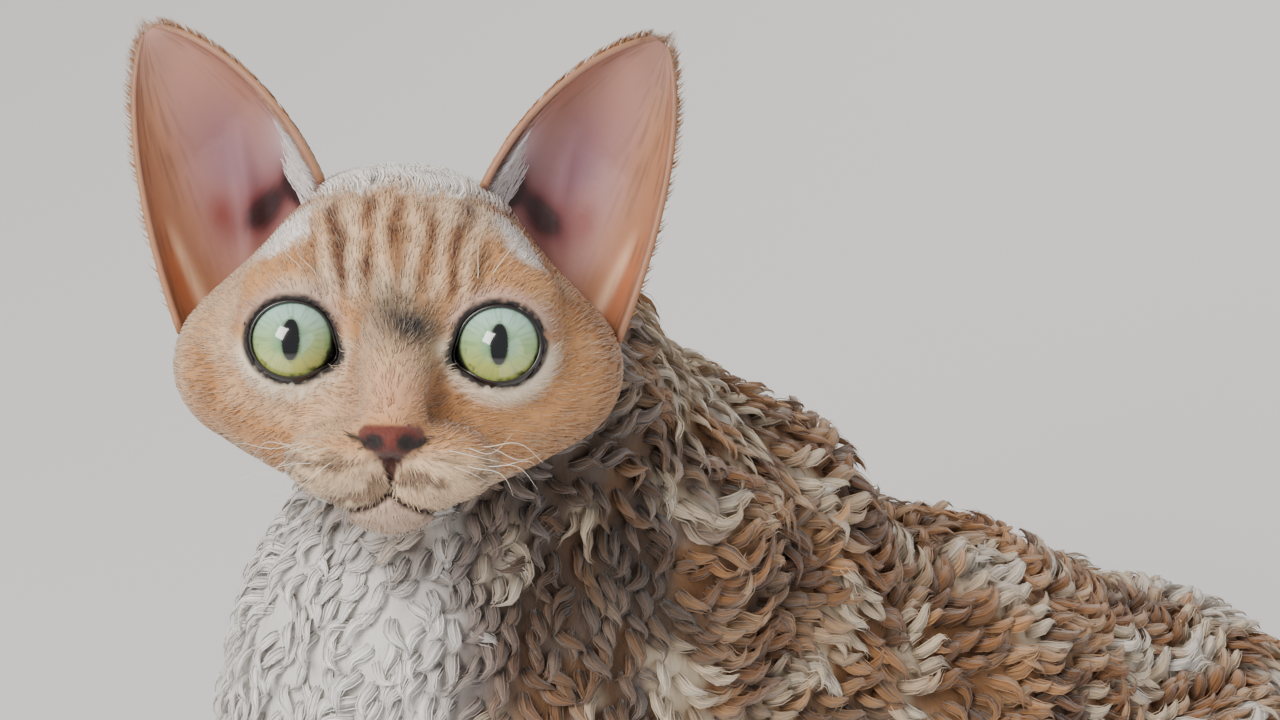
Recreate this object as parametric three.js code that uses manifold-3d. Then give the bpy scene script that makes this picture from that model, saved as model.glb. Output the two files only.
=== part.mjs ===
// A sitting Devon Rex cat, life size, as a still display model. Millimetres, +Z up.
// The body heads along -Y with its left side at +X. The head is turned to its left and looks up.
// The form is a few named muscles, blended into fields; each sub-part is cast from its own axis
// out to the field, and the pieces are then parted with a fine gap and joined with the coat.
import * as THREE from "three";
import { mergeVertices } from "three/addons/utils/BufferGeometryUtils.js";
import Module from "manifold-3d";

const wasm = await Module();
wasm.setup();

// Driving sizes
const GAP = 0.3; // left between two touching sub-parts
const COAT_CORE = 4; // how far the plain core of the curly coat lies under the tips of its clumps
const EYE_RADIUS = 10.8;
const EYE_APART = 43.4; // between the two pupils
const FORE_APART = 54; // between the two forepaws
const HIND_APART = 102; // between the two hind paws
const SETTLE = 0.5; // how far a round underside is flattened on the floor

// Where the part's origin lies in the coordinates used below
const ORIGIN = new THREE.Vector3(14, 117, 0);

// The head is modelled in its own frame: its face looks along -Y, and z = 0 is the line of the eyes
const HEAD_YAW = 60;
const HEAD_RISE = 30;
const HEAD_ROLL = 2.3;
const EYES_AT = new THREE.Vector3(50, -44, 300); // between the eyes, in the cat's frame
const EYES_FORWARD = 38; // from the head's own origin to there

const vec = (x, y, z) => new THREE.Vector3(x, y, z);
const headTurn = new THREE.Matrix4()
  .makeRotationZ(THREE.MathUtils.degToRad(HEAD_YAW))
  .multiply(new THREE.Matrix4().makeRotationX(THREE.MathUtils.degToRad(-HEAD_RISE)))
  .multiply(new THREE.Matrix4().makeRotationY(THREE.MathUtils.degToRad(HEAD_ROLL)));
const headAt = EYES_AT.clone().sub(vec(0, -EYES_FORWARD, 0).applyMatrix4(headTurn));
const headFrame = headTurn.clone().setPosition(headAt);

// Fields: the distance from a point to a form, negative inside
const blend = (a, b, reach) => {
  const h = Math.max(reach - Math.abs(a - b), 0) / reach;
  return Math.min(a, b) - (h * h * reach) / 4;
};
const lump = (p, [cx, cy, cz], [rx, ry, rz]) => {
  const [x, y, z] = [(p.x - cx) / rx, (p.y - cy) / ry, (p.z - cz) / rz];
  const near = Math.hypot(x, y, z);
  return (near * (near - 1)) / Math.max(Math.hypot(x / rx, y / ry, z / rz), 1e-6);
};
const limb = (p, a, b, ra, rb) => {
  const d = [b[0] - a[0], b[1] - a[1], b[2] - a[2]];
  const along = (p.x - a[0]) * d[0] + (p.y - a[1]) * d[1] + (p.z - a[2]) * d[2];
  const t = Math.min(Math.max(along / (d[0] ** 2 + d[1] ** 2 + d[2] ** 2), 0), 1);
  return (
    Math.hypot(p.x - a[0] - t * d[0], p.y - a[1] - t * d[1], p.z - a[2] - t * d[2]) -
    (ra + (rb - ra) * t)
  );
};
const blendAll = (first, ...rest) => rest.reduce((d, [e, reach]) => blend(d, e, reach), first);
// A form on the left side is repeated on the right
const mirrored = (p) => vec(Math.abs(p.x), p.y, p.z);

function headField(p) {
  const m = mirrored(p);
  return blendAll(
    lump(p, [0, 8, 2], [36, 40, 36]), // skull
    [lump(p, [0, -17, 13], [27, 18, 19]), 14], // forehead
    [lump(m, [27, -3, -5], [22, 26, 19]), 12], // cheekbones
    [lump(p, [0, -10, -16], [29, 26, 16]), 12], // jaw
    [limb(p, [0, -33, 2], [0, -46, -14], 9.5, 7), 8], // bridge of the nose
    [lump(m, [10, -39, -25], [13, 13, 9]), 7], // whisker pads
    [lump(p, [0, -36, -33], [11, 11, 8]), 6], // chin
    [lump(m, [20, -25, 12], [13, 9, 6]), 8], // brows
    [lump(p, [0, -50.5, -20], [7, 5.5, 4.5]), 3], // tip of the nose
    [lump(m, [21.7, -27.5, 0], [13.4, 12.3, 13]), 5], // flesh round the eyeball
  );
}

function trunkField(p) {
  const m = mirrored(p);
  return blendAll(
    lump(p, [0, -11, 172], [50, 54, 58]), // chest
    [limb(p, [0, 40, 163], [0, 128, 112], 54, 50), 30], // ribs
    [limb(p, [0, 128, 112], [0, 203, 70], 50, 47), 30], // loin
    [limb(p, [0, 203, 70], [0, 242, 50], 47, 41), 20], // rump
    [lump(p, [0, 248, 34], [42, 36, 40]), 20], // seat
    [limb(p, [0, 50, 132], [0, 180, 62], 42, 46), 20], // belly
    [limb(p, [0, 10, 205], [-3, 8, 252], 46, 39), 26], // neck
    [limb(p, [0, 18, 238], [0, 76, 188], 30, 35), 22], // scruff
    [limb(m, [24, 38, 204], [40, -4, 150], 25, 27), 20], // shoulder blade
    [limb(m, [40, -4, 150], [37, 30, 112], 26, 20), 16], // upper arm
  );
}

const foreAt = FORE_APART / 2;
const TOES = 4;
const toes = (m, x, y, spread, size) =>
  Array.from({ length: TOES }, (_, i) => i - (TOES - 1) / 2).map((k) => [
    lump(m, [x + k * spread, y + Math.abs(k) * 3, 7.5], size),
    2,
  ]);

const foreField = (m) =>
  blendAll(
    limb(m, [36, 26, 118], [foreAt + 1, -6, 32], 18, 11),
    [limb(m, [foreAt + 1, -6, 32], [foreAt, -16, 14], 11, 11.5), 8],
    [lump(m, [foreAt, -26, 10], [15, 20, 12]), 8],
    ...toes(m, foreAt, -40, 7, [5, 9.5, 7.8]),
  );

const thighField = (m) =>
  blendAll(
    lump(m, [38, 168, 68], [34, 64, 50]),
    [limb(m, [38, 200, 76], [50, 120, 60], 35, 27), 20],
    [limb(m, [51, 118, 48], [46, 190, 30], 22, 18), 14],
  );

const hindAt = HIND_APART / 2;
const footField = (m) =>
  blendAll(
    limb(m, [44, 222, 13], [50, 130, 12], 12, 11.5),
    [lump(m, [hindAt, 112, 10], [16, 24, 12]), 8],
    ...toes(m, hindAt, 94, 7.2, [5.2, 9.5, 7.8]),
  );

// The tail lies on the floor and comes round the left haunch
const TAIL_ROOT_R = 17;
const TAIL_TIP_R = 6;
const tailRadius = (t) => TAIL_TIP_R + (TAIL_ROOT_R - TAIL_TIP_R) * (1 - t) ** 1.5;
const tailCourse = [
  [0, 258, 36],
  [14, 288, 20],
  [50, 297],
  [86, 262],
  [99, 196],
  [97, 132],
  [82, 78],
  [56, 44],
];
const tailLine = new THREE.CatmullRomCurve3(
  tailCourse.map(([x, y, z], i) => vec(x, y, z ?? tailRadius(i / (tailCourse.length - 1)) - SETTLE)),
  false,
  "catmullrom",
);

// Solids
const solid = (geometry) => {
  const bare = geometry.index ? geometry.clone() : mergeVertices(geometry);
  bare.deleteAttribute("normal");
  bare.deleteAttribute("uv");
  const merged = mergeVertices(bare, 1e-4);
  return new wasm.Manifold(
    new wasm.Mesh({
      numProp: 3,
      vertProperties: new Float32Array(merged.attributes.position.array),
      triVerts: new Uint32Array(merged.index.array),
    }),
  );
};
const bufferOf = (s) => {
  const { vertProperties, triVerts } = s.getMesh();
  const g = new THREE.BufferGeometry();
  g.setAttribute("position", new THREE.BufferAttribute(new Float32Array(vertProperties), 3));
  g.setIndex(new THREE.BufferAttribute(new Uint32Array(triVerts), 1));
  return g;
};
// A solid moved by a matrix. Where that mirrors it, its faces are turned to face out again.
function moved(s, matrix) {
  const g = bufferOf(s).applyMatrix4(matrix);
  if (matrix.determinant() < 0) g.setIndex(Array.from(g.index.array).reverse());
  return solid(g);
}
const acrossBody = new THREE.Matrix4().makeScale(-1, 1, 1);
const mirror = (s) => moved(s, acrossBody);
const largest = (s) => s.decompose().sort((a, b) => b.volume() - a.volume())[0];
const ball = ([x, y, z], [rx, ry, rz], w = 16, h = 12) =>
  solid(new THREE.SphereGeometry(1, w, h).scale(rx, ry, rz).translate(x, y, z));
const block = ([x, y, z], [w, d, h], lean = 0) =>
  solid(new THREE.BoxGeometry(w, d, h).rotateX(lean).translate(x, y, z));

// Closes a run of rings of points into one surface. A ring may be a single point.
function skinned(rings) {
  const starts = [];
  rings.reduce((n, ring, i) => {
    starts[i] = n;
    return n + ring.length;
  }, 0);
  const faces = [];
  for (let i = 0; i + 1 < rings.length; i++) {
    const [a, b] = [rings[i], rings[i + 1]];
    const n = Math.max(a.length, b.length);
    for (let k = 0; k < n; k++) {
      const next = (k + 1) % n;
      const [a0, a1] = [starts[i] + (k % a.length), starts[i] + (next % a.length)];
      const [b0, b1] = [starts[i + 1] + (k % b.length), starts[i + 1] + (next % b.length)];
      if (a.length > 1) faces.push(a0, b0, a1);
      if (b.length > 1) faces.push(a1, b0, b1);
    }
  }
  return closed(rings.flat(), faces);
}
function closed(points, faces) {
  const g = new THREE.BufferGeometry().setFromPoints(points);
  g.setIndex(faces);
  const made = solid(g);
  return made.volume() > 0 ? made : solid(g.setIndex(faces.reverse()));
}

// Goes out from a point inside a field to where the field reaches a level
const MOST_STEPS = 70;
const STEP_SHARE = 0.8; // of the distance that is left
const NEAR_ENOUGH = 0.01;
function outTo(field, level, from, way, most = Infinity) {
  let gone = 0;
  const p = from.clone();
  for (let i = 0; i < MOST_STEPS && gone < most; i++) {
    const left = level - field(p);
    if (left < NEAR_ENOUGH) break;
    const step = Math.min(left * STEP_SHARE, most - gone);
    gone += step;
    p.addScaledVector(way, step);
  }
  return p;
}

// Casts a tube from an axis out to a field. Its ends are domes round the ends of the axis.
function cast(field, axis, { rings, sides, dome, up, level = 0, most = Infinity }) {
  const ring = (t, lean) => {
    const at = axis.getPoint(t);
    const ahead = axis.getTangent(t);
    const side = vec(0, 0, 0).crossVectors(ahead, up).normalize();
    const top = vec(0, 0, 0).crossVectors(side, ahead);
    return Array.from({ length: sides }, (_, k) => {
      const angle = (2 * Math.PI * k) / sides;
      const way = side.clone().multiplyScalar(Math.cos(angle)).addScaledVector(top, Math.sin(angle));
      way.multiplyScalar(Math.cos(lean)).addScaledVector(ahead, Math.sin(lean));
      return outTo(field, level, at, way.normalize(), most);
    });
  };
  const pole = (t, sign) => {
    const ahead = axis.getTangent(t).multiplyScalar(sign);
    return [outTo(field, level, axis.getPoint(t), ahead, most)];
  };
  const made = [pole(0, -1)];
  for (let i = 1; i < dome; i++) made.push(ring(0, (-Math.PI / 2) * (1 - i / dome)));
  for (let i = 0; i <= rings; i++) made.push(ring(i / rings, 0));
  for (let i = 1; i < dome; i++) made.push(ring(1, (Math.PI / 2) * (i / dome)));
  made.push(pole(1, 1));
  return skinned(made);
}
const line = (...points) => new THREE.CatmullRomCurve3(points.map(([x, y, z]) => vec(x, y, z)));

// Trunk and neck
const trunkLine = line(
  [-3, 8, 256],
  [0, 14, 208],
  [0, 34, 166],
  [0, 84, 136],
  [0, 150, 100],
  [0, 205, 66],
  [0, 246, 40],
);
const trunkUp = vec(0, 0.6, 0.8);
const coreShape = { dome: 3, level: -COAT_CORE };
const trunk = cast(trunkField, trunkLine, { ...coreShape, rings: 18, sides: 18, up: trunkUp });

// Legs. Where a leg runs into the trunk it fills the corner between them.
const LEG_REACH = 26;
const foreleg = cast(
  (p) => blend(foreField(p), trunkField(p), 16),
  line([36, 24, 116], [foreAt + 5, 8, 74], [foreAt + 1, -6, 30], [foreAt, -20, 11], [foreAt, -38, 8]),
  { rings: 13, sides: 14, dome: 3, up: vec(0, -1, 0.2), most: LEG_REACH },
);
const thighLine = line([40, 205, 60], [42, 165, 62], [48, 122, 50]);
const upright = vec(0, 0, 1);
const thigh = cast(thighField, thighLine, { ...coreShape, rings: 6, sides: 14, up: upright });
const footLine = line([44, 222, 11], [48, 160, 11], [hindAt, 96, 9]);
const footShape = { rings: 9, sides: 12, dome: 3, up: upright };
const foot = cast(footField, footLine, footShape);
const footCutter = cast(footField, footLine, { ...footShape, level: GAP });

// Head, cast from one centre, with its rings round the muzzle
const HEAD_SIDES = 36;
const HEAD_RINGS = 24;
const headCentre = vec(0, -4, -5);
const headRings = (level) =>
  Array.from({ length: HEAD_RINGS + 1 }, (_, i) => {
    const fromNose = Math.PI * (i / HEAD_RINGS) ** 1.2;
    const single = i === 0 || i === HEAD_RINGS;
    return Array.from({ length: single ? 1 : HEAD_SIDES }, (_, k) => {
      const round = (2 * Math.PI * (k + 0.5)) / HEAD_SIDES;
      const out = Math.sin(fromNose);
      const way = vec(out * Math.cos(round), -Math.cos(fromNose), out * Math.sin(round));
      return outTo(headField, level, headCentre, way);
    });
  });
const headBare = skinned(headRings(0));
const headCutter = skinned(headRings(GAP));

// Eyes, each in a socket with a rim of lid round the opening
const EYE_CENTRE = [EYE_APART / 2, -27.5, 0];
const LID_WIDE = 9.3;
const LID_HIGH = 8.6;
const LID_THICK = 1.2;
const EYE_FACETS = [14, 10]; // the socket has the same ones, so that it keeps clear all round
const eye = ball(EYE_CENTRE, Array(3).fill(EYE_RADIUS), ...EYE_FACETS);
const opening = solid(
  new THREE.CylinderGeometry(1, 1, 14, 16)
    .scale(LID_WIDE, 1, LID_HIGH)
    .translate(EYE_CENTRE[0], EYE_CENTRE[1] - 13, EYE_CENTRE[2]),
);
const lidRing = new THREE.TorusGeometry(1, LID_THICK / LID_WIDE, 5, 16)
  .rotateX(Math.PI / 2)
  .scale(LID_WIDE, LID_WIDE, LID_HIGH);
const lidPoints = lidRing.attributes.position;
for (let i = 0; i < lidPoints.count; i++) {
  const [x, z] = [lidPoints.getX(i), lidPoints.getZ(i)];
  lidPoints.setY(i, lidPoints.getY(i) - Math.sqrt(Math.max((EYE_RADIUS + 0.6) ** 2 - x * x - z * z, 9)));
}
const lid = solid(lidRing.translate(...EYE_CENTRE));
const socket = ball(EYE_CENTRE, Array(3).fill(EYE_RADIUS + GAP), ...EYE_FACETS).add(opening);

// The nose leather, a plug in the tip of the muzzle, and its two nostrils
const NOSE_TOP = -17;
const NOSE_LOW = -27.5;
const nosePlug = (grow) =>
  solid(
    new THREE.CylinderGeometry(7.4 + grow, 2.2 + grow, NOSE_TOP - NOSE_LOW + 2 * grow, 14)
      .rotateX(Math.PI / 2)
      .translate(0, -52, (NOSE_TOP + NOSE_LOW) / 2),
  );
const nostril = solid(
  new THREE.SphereGeometry(1, 10, 6).scale(2.3, 3, 1.3).rotateY(0.5).translate(4.3, -55.6, -20.6),
);
const nostrils = nostril.add(mirror(nostril));

// The line of the mouth and the groove up to the nose
const groove = (points, wide) =>
  solid(
    new THREE.ExtrudeGeometry(
      new THREE.Shape([
        new THREE.Vector2(-wide, 0),
        new THREE.Vector2(0, -wide),
        new THREE.Vector2(wide, 0),
        new THREE.Vector2(0, wide),
      ]),
      { steps: 14, bevelEnabled: false, extrudePath: new THREE.CatmullRomCurve3(points) },
    ),
  );
const onFace = (x, z) => outTo(headField, 0, headCentre, vec(x, -46, z + 5).normalize());
const MOUTH_HALF = 19;
const mouthLine = groove(
  [-1, -0.7, -0.35, 0, 0.35, 0.7, 1].map((k) => onFace(MOUTH_HALF * k, -31 - 5 * Math.abs(k))),
  1.1,
);
const philtrum = groove([onFace(0, -26.5), onFace(0, -28.5), onFace(0, -31)], 0.9);

// Ears: each a thin cup between two curved edges, its hollow facing forwards
const EAR_THICK = 1.7;
const EAR_ROWS = 9;
const EAR_COLUMNS = 8;
const EAR_DEPTH = 19;
const EAR_END = 0.955; // the tip is rounded off here
const bend = (...points) => new THREE.CubicBezierCurve3(...points.map((p) => vec(...p)));
const earInner = bend([18.5, -9, 34], [27, -10, 53], [44, -7, 66], [56, -3, 67]);
const earOuter = bend([47, -4, 2], [56, -5, 26], [61, -5, 52], [56, -3, 67]);
const earBack = vec(-0.35, 0.92, -0.18);
function earPoint(s, k, outward) {
  const [inner, outer] = [earInner.getPoint(s), earOuter.getPoint(s)];
  const chord = inner.distanceTo(outer);
  const share = 0.5 - 0.5 * Math.cos(Math.PI * k) * (1 + (2 * outward) / Math.max(chord, 4));
  const deep = EAR_DEPTH * (1 - s ** 1.6) * Math.min(chord / 30, 1) + outward * 1.6;
  return inner.lerp(outer, share).addScaledVector(earBack, deep * Math.sin(Math.PI * k));
}
function earShell() {
  const row = (s) => {
    const ks = Array.from({ length: EAR_COLUMNS + 1 }, (_, k) => k / EAR_COLUMNS);
    return [...ks.map((k) => earPoint(s, k, EAR_THICK)), ...ks.reverse().map((k) => earPoint(s, k, 0))];
  };
  const rows = Array.from({ length: EAR_ROWS + 1 }, (_, i) => row(EAR_END * (i / EAR_ROWS) ** 0.85));
  const n = rows[0].length;
  const faces = [];
  for (let i = 0; i < EAR_ROWS; i++)
    for (let k = 0; k < n; k++) {
      const [a, b] = [i * n + k, i * n + ((k + 1) % n)];
      faces.push(a, b, a + n, b, b + n, a + n);
    }
  // The root and the tip are closed across the thickness of the shell
  for (let k = 0; k < EAR_COLUMNS; k++) {
    const [a, b, c, d] = [k, k + 1, n - 1 - k, n - 2 - k];
    const last = EAR_ROWS * n;
    faces.push(a, c, b, b, c, d);
    faces.push(last + a, last + b, last + c, last + b, last + d, last + c);
  }
  return closed(rows.flat(), faces);
}
const ear = largest(earShell().subtract(headCutter));

// The tail, a tapering tube in three lengths, each butted a gap short of the next
const TAIL_SIDES = 10;
function tailTube(from, to, rings, grow = 0) {
  const made = Array.from({ length: rings + 1 }, (_, i) => {
    const t = from + ((to - from) * i) / rings;
    const [at, ahead] = [tailLine.getPoint(t), tailLine.getTangent(t)];
    const side = vec(0, 0, 0).crossVectors(ahead, upright).normalize();
    const top = vec(0, 0, 0).crossVectors(side, ahead);
    return Array.from({ length: TAIL_SIDES }, (_, k) => {
      const angle = (2 * Math.PI * k) / TAIL_SIDES;
      return at
        .clone()
        .addScaledVector(side, (tailRadius(t) + grow) * Math.cos(angle))
        .addScaledVector(top, (tailRadius(t) + grow) * Math.sin(angle));
    });
  });
  const tip = tailLine.getPoint(to);
  if (to === 1) tip.addScaledVector(tailLine.getTangent(1), TAIL_TIP_R);
  return skinned([[tailLine.getPoint(from)], ...made, [tip]]);
}

// Parting: what lies in a region is one sub-part, and the rest keeps a gap from it
const FAR = 1500;
// All that lies behind a plane square to a direction that leans by an angle from +Y towards +Z
const behind = (lean, [x, y, z], shift = 0) => {
  const [ny, nz] = [Math.cos(lean), Math.sin(lean)];
  const back = FAR / 2 - shift;
  return block([x, y - ny * back, z - nz * back], [FAR, FAR, FAR], lean);
};
const rad = THREE.MathUtils.degToRad;
const inHeadFrame = (s) => moved(s, headFrame);
const belowFloor = block([0, 0, -FAR / 2], [FAR, FAR, FAR]);

const NAPE = [0, 24, 0]; // in the head's frame, a point on the cut behind the jaw and the skull
const WITHERS = [0, 20, 210];
const WRIST = [0, 0, 27];
const headRegion = (grow) => inHeadFrame(behind(rad(-45), NAPE, grow));
const neckRegion = (grow) => behind(rad(-104), WITHERS, grow);
const foreRegion = (grow) =>
  ball([38, 8, 62], [31 + grow, 43 + grow, 62 + grow], 12, 8).add(
    block([44, -20, 10], [76 + 2 * grow, 130 + 2 * grow, 92 + 2 * grow]),
  );
const pawRegion = (grow) => behind(rad(90), WRIST, grow);
const thighRegion = (grow) => ball([62, 165, 62], [48 + grow, 92 + grow, 74 + grow], 14, 10);

const TAIL_CUTS = [0.36, 0.7];
const tailRoot = tailTube(0, TAIL_CUTS[0], 9);
const tailGap = GAP / tailLine.getLength();
const tailMiddle = tailTube(TAIL_CUTS[0] + tailGap, TAIL_CUTS[1], 8);
const tailEnd = tailTube(TAIL_CUTS[1] + tailGap, 1, 8);
const tailCutter = tailTube(0, 0.3, 9, GAP);

// The curly coat: rounded clumps set close over the trunk, the neck and the thighs. Each is a bent,
// flattened drop that lies back along the body, its root sunk in the core and its tip up.
const CLUMP_SIDES = 5;
const CLUMP_RINGS = 3;
const CLUMP_LONG = 21; // half sizes
const CLUMP_WIDE = 13.5;
const CLUMP_HIGH = 6;
const CLUMP_SUNK = 1.8; // the clump's middle under the core's surface
const CLUMP_TAPER = 0.25; // the share of its width that it loses towards the tip
const CLUMP_TILT = 1.4; // the rise of its tip over its middle
const CLUMP_SWAY = 4; // the most that it bends sideways
const CLUMP_VARIES = 0.12; // in size
const CLUMP_ROWS_APART = 36;
const CLUMPS_APART = 28; // round the body
const BARE_BELOW = -0.6; // the belly, which faces down more than this, has only short fur
const SWIRL = 1.1; // how far the lie of neighbouring clumps differs, in radians
const COAT_SEED = 11;
THREE.MathUtils.seededRandom(COAT_SEED);
const vary = (amount) => (THREE.MathUtils.seededRandom() * 2 - 1) * amount;
const outOf = (field, p) => {
  const d = (x, y, z) => field(vec(p.x + x, p.y + y, p.z + z)) - field(vec(p.x - x, p.y - y, p.z - z));
  return vec(d(1, 0, 0), d(0, 1, 0), d(0, 0, 1)).normalize();
};
// The coat runs down the chest, and back and down elsewhere
function lieOf(at, out) {
  const back = 1 - THREE.MathUtils.smoothstep(-at.y, -10, 20);
  const lie = vec(Math.sign(at.x) * 0.25, back, -0.75);
  return lie.addScaledVector(out, -out.dot(lie)).normalize().applyAxisAngle(out, vary(SWIRL));
}
function clump(field, at) {
  const out = outOf(field, at);
  const lie = lieOf(at, out);
  const side = vec(0, 0, 0).crossVectors(lie, out);
  const size = 1 + vary(CLUMP_VARIES);
  const sway = vary(CLUMP_SWAY);
  const g = new THREE.SphereGeometry(1, CLUMP_SIDES, CLUMP_RINGS);
  const points = g.attributes.position;
  for (let i = 0; i < points.count; i++) {
    const [x, y, z] = [points.getX(i), points.getY(i), points.getZ(i)];
    points.setXYZ(
      i,
      size * CLUMP_WIDE * x * (1 - CLUMP_TAPER * y) + sway * (1 - y * y),
      size * CLUMP_LONG * y,
      CLUMP_HIGH * z + CLUMP_TILT * y - CLUMP_SUNK,
    );
  }
  g.applyMatrix4(new THREE.Matrix4().makeBasis(side, lie, out).setPosition(at));
  return solid(g);
}
// Rows of clumps round an axis, and round the domes at its ends
const DOME_LEANS = [0.55, 1.15];
const UNEVEN = 0.15; // in the places round a row, as a share of the space between two
function clumpsOver(field, axis, up, startDome, keep) {
  const out = [];
  const rows = Math.round(axis.getLength() / CLUMP_ROWS_APART);
  const stations = Array.from({ length: rows + 1 }, (_, i) => [axis.getUtoTmapping(i / rows), 0]);
  stations.push(...DOME_LEANS.map((lean) => [1, lean]));
  if (startDome) stations.unshift(...DOME_LEANS.map((lean) => [0, -lean]));
  stations.forEach(([t, lean], i) => {
    const [from, ahead] = [axis.getPoint(t), axis.getTangent(t)];
    const side = vec(0, 0, 0).crossVectors(ahead, up).normalize();
    const top = vec(0, 0, 0).crossVectors(side, ahead);
    const place = (angle) => {
      const way = side.clone().multiplyScalar(Math.cos(angle)).addScaledVector(top, Math.sin(angle));
      way.multiplyScalar(Math.cos(lean)).addScaledVector(ahead, Math.sin(lean));
      return outTo(field, -COAT_CORE, from, way);
    };
    const girth = 2 * Math.PI * Math.cos(lean) * place(0).distanceTo(from);
    const count = Math.round(girth / CLUMPS_APART);
    for (let k = 0; k < count; k++) {
      const at = place((2 * Math.PI * (k + (i % 2) / 2 + vary(UNEVEN))) / count);
      if (keep(at) && outOf(field, at).z > BARE_BELOW) out.push(clump(field, at));
    }
  });
  return out;
}
// Clumps keep this far from the floor, and from the sub-parts that have none
const OFF_FLOOR = 9;
const OFF_FEET = 6;
const OFF_FORELEGS = 5;
const OFF_HEAD = 6;
const OFF_THIGHS = 4;
const OFF_TRUNK = 3;
const behindHead = (p) => {
  const h = p.clone().applyMatrix4(headFrame.clone().invert());
  return h.y - h.z - NAPE[1];
};
const onTrunk = (p) =>
  p.z > OFF_FLOOR &&
  thighField(mirrored(p)) > OFF_THIGHS &&
  foreField(mirrored(p)) > OFF_FORELEGS &&
  behindHead(p) > OFF_HEAD;
const onThigh = (p) => p.z > OFF_FLOOR && trunkField(p) > OFF_TRUNK && footField(p) > OFF_FEET;
const thighClumps = clumpsOver(thighField, thighLine, upright, true, onThigh);
const clumps = [
  ...clumpsOver(trunkField, trunkLine, trunkUp, false, onTrunk),
  ...thighClumps,
  ...thighClumps.map(mirror),
].reduce((all, one) => all.add(one));

const feet = footCutter.add(mirror(footCutter));
const body = trunk
  .add(thigh)
  .add(mirror(thigh))
  .add(foreleg)
  .add(mirror(foreleg))
  .add(clumps)
  .subtract(feet)
  .subtract(tailCutter)
  .subtract(belowFloor);
const sides = { left: (s) => s, right: mirror };

const headRim = headBare.add(lid).add(mirror(lid));
const headCut = headRim.subtract(mouthLine).subtract(philtrum);
const MUZZLE_STEP = 0.6; // how far the nose leather stands out of the muzzle
const made = {};
made.head = inHeadFrame(headCut)
  .add(body)
  .intersect(headRegion(0))
  .subtract(inHeadFrame(socket.add(mirror(socket)).add(nosePlug(GAP))));
made.nose = inHeadFrame(skinned(headRings(MUZZLE_STEP)).intersect(nosePlug(0)).subtract(nostrils));
const rest = body.subtract(headRegion(GAP));
made.neck = rest.add(inHeadFrame(headCutter)).subtract(headRegion(GAP)).intersect(neckRegion(0));
const foreRegions = foreRegion(GAP).add(mirror(foreRegion(GAP)));
const thighRegions = thighRegion(GAP).add(mirror(thighRegion(GAP)));
made.torso = rest.subtract(neckRegion(GAP)).subtract(foreRegions).subtract(thighRegions);
for (const [side, turned] of Object.entries(sides)) {
  const wholeLeg = body.intersect(turned(foreRegion(0)));
  made["foreleg_" + side] = wholeLeg.subtract(pawRegion(GAP));
  made["forepaw_" + side] = wholeLeg.intersect(pawRegion(0));
  made["thigh_" + side] = body.intersect(turned(thighRegion(0))).subtract(foreRegions);
  made["hindfoot_" + side] = turned(foot).subtract(belowFloor);
  made["eye_" + side] = inHeadFrame(turned(eye));
  made["ear_" + side] = inHeadFrame(turned(ear));
}
made.tail_base = tailRoot.subtract(belowFloor);
made.tail_middle = tailMiddle.subtract(belowFloor);
made.tail_tip = tailEnd.subtract(belowFloor);

// Materials, by sub-part
const fur = (colour) => new THREE.MeshStandardMaterial({ color: colour, roughness: 0.9, metalness: 0 });
const coats = {
  head: fur("#a8815c"),
  neck: fur("#b39a82"),
  torso: fur("#8f7458"),
  thigh: fur("#9a8062"),
  leg: fur("#a58a6e"),
  paw: fur("#d9cdbf"),
  tail: fur("#8a6a4c"),
  ear: fur("#b98a7a"),
};
const eyeGlass = new THREE.MeshStandardMaterial({ color: "#a9bfa2", roughness: 0.08, metalness: 0 });
const leather = new THREE.MeshStandardMaterial({ color: "#7d4436", roughness: 0.55, metalness: 0 });
const lookOf = (name) => {
  if (name.startsWith("eye")) return eyeGlass;
  if (name === "nose") return leather;
  if (name.startsWith("foreleg") || name.startsWith("hindfoot")) return coats.leg;
  if (name.startsWith("forepaw")) return coats.paw;
  return coats[name.split("_")[0]];
};

const group = new THREE.Group();
for (const [name, whole] of Object.entries(made)) {
  const mesh = new THREE.Mesh(bufferOf(largest(whole)), lookOf(name));
  mesh.name = name;
  mesh.position.copy(ORIGIN).negate();
  group.add(mesh);
}
export default group;
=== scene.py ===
"""The looks of a sitting Devon Rex cat: its skin, eyes, ears, nose and curly coat."""
import math

import bpy
import numpy as np
from mathutils import Matrix, Vector


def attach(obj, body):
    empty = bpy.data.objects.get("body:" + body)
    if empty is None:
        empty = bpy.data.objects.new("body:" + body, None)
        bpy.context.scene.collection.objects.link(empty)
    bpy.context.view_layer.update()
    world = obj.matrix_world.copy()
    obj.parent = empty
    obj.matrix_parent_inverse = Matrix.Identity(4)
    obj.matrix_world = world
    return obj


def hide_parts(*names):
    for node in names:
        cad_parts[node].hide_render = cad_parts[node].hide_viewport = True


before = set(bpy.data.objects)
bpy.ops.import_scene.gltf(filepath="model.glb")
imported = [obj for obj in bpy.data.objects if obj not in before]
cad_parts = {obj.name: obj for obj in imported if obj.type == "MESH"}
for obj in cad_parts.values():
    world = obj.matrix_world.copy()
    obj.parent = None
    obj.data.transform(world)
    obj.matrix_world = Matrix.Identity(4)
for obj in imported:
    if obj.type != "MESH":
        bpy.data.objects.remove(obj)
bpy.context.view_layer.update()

# Lengths are in the cat's own millimetres: the body heads along -Y, its left side is at +X.
MM = 0.001
ORIGIN = np.array([14.0, 117.0, 0.0])  # the part's origin in those coordinates
RNG = np.random.default_rng(7)


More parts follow.
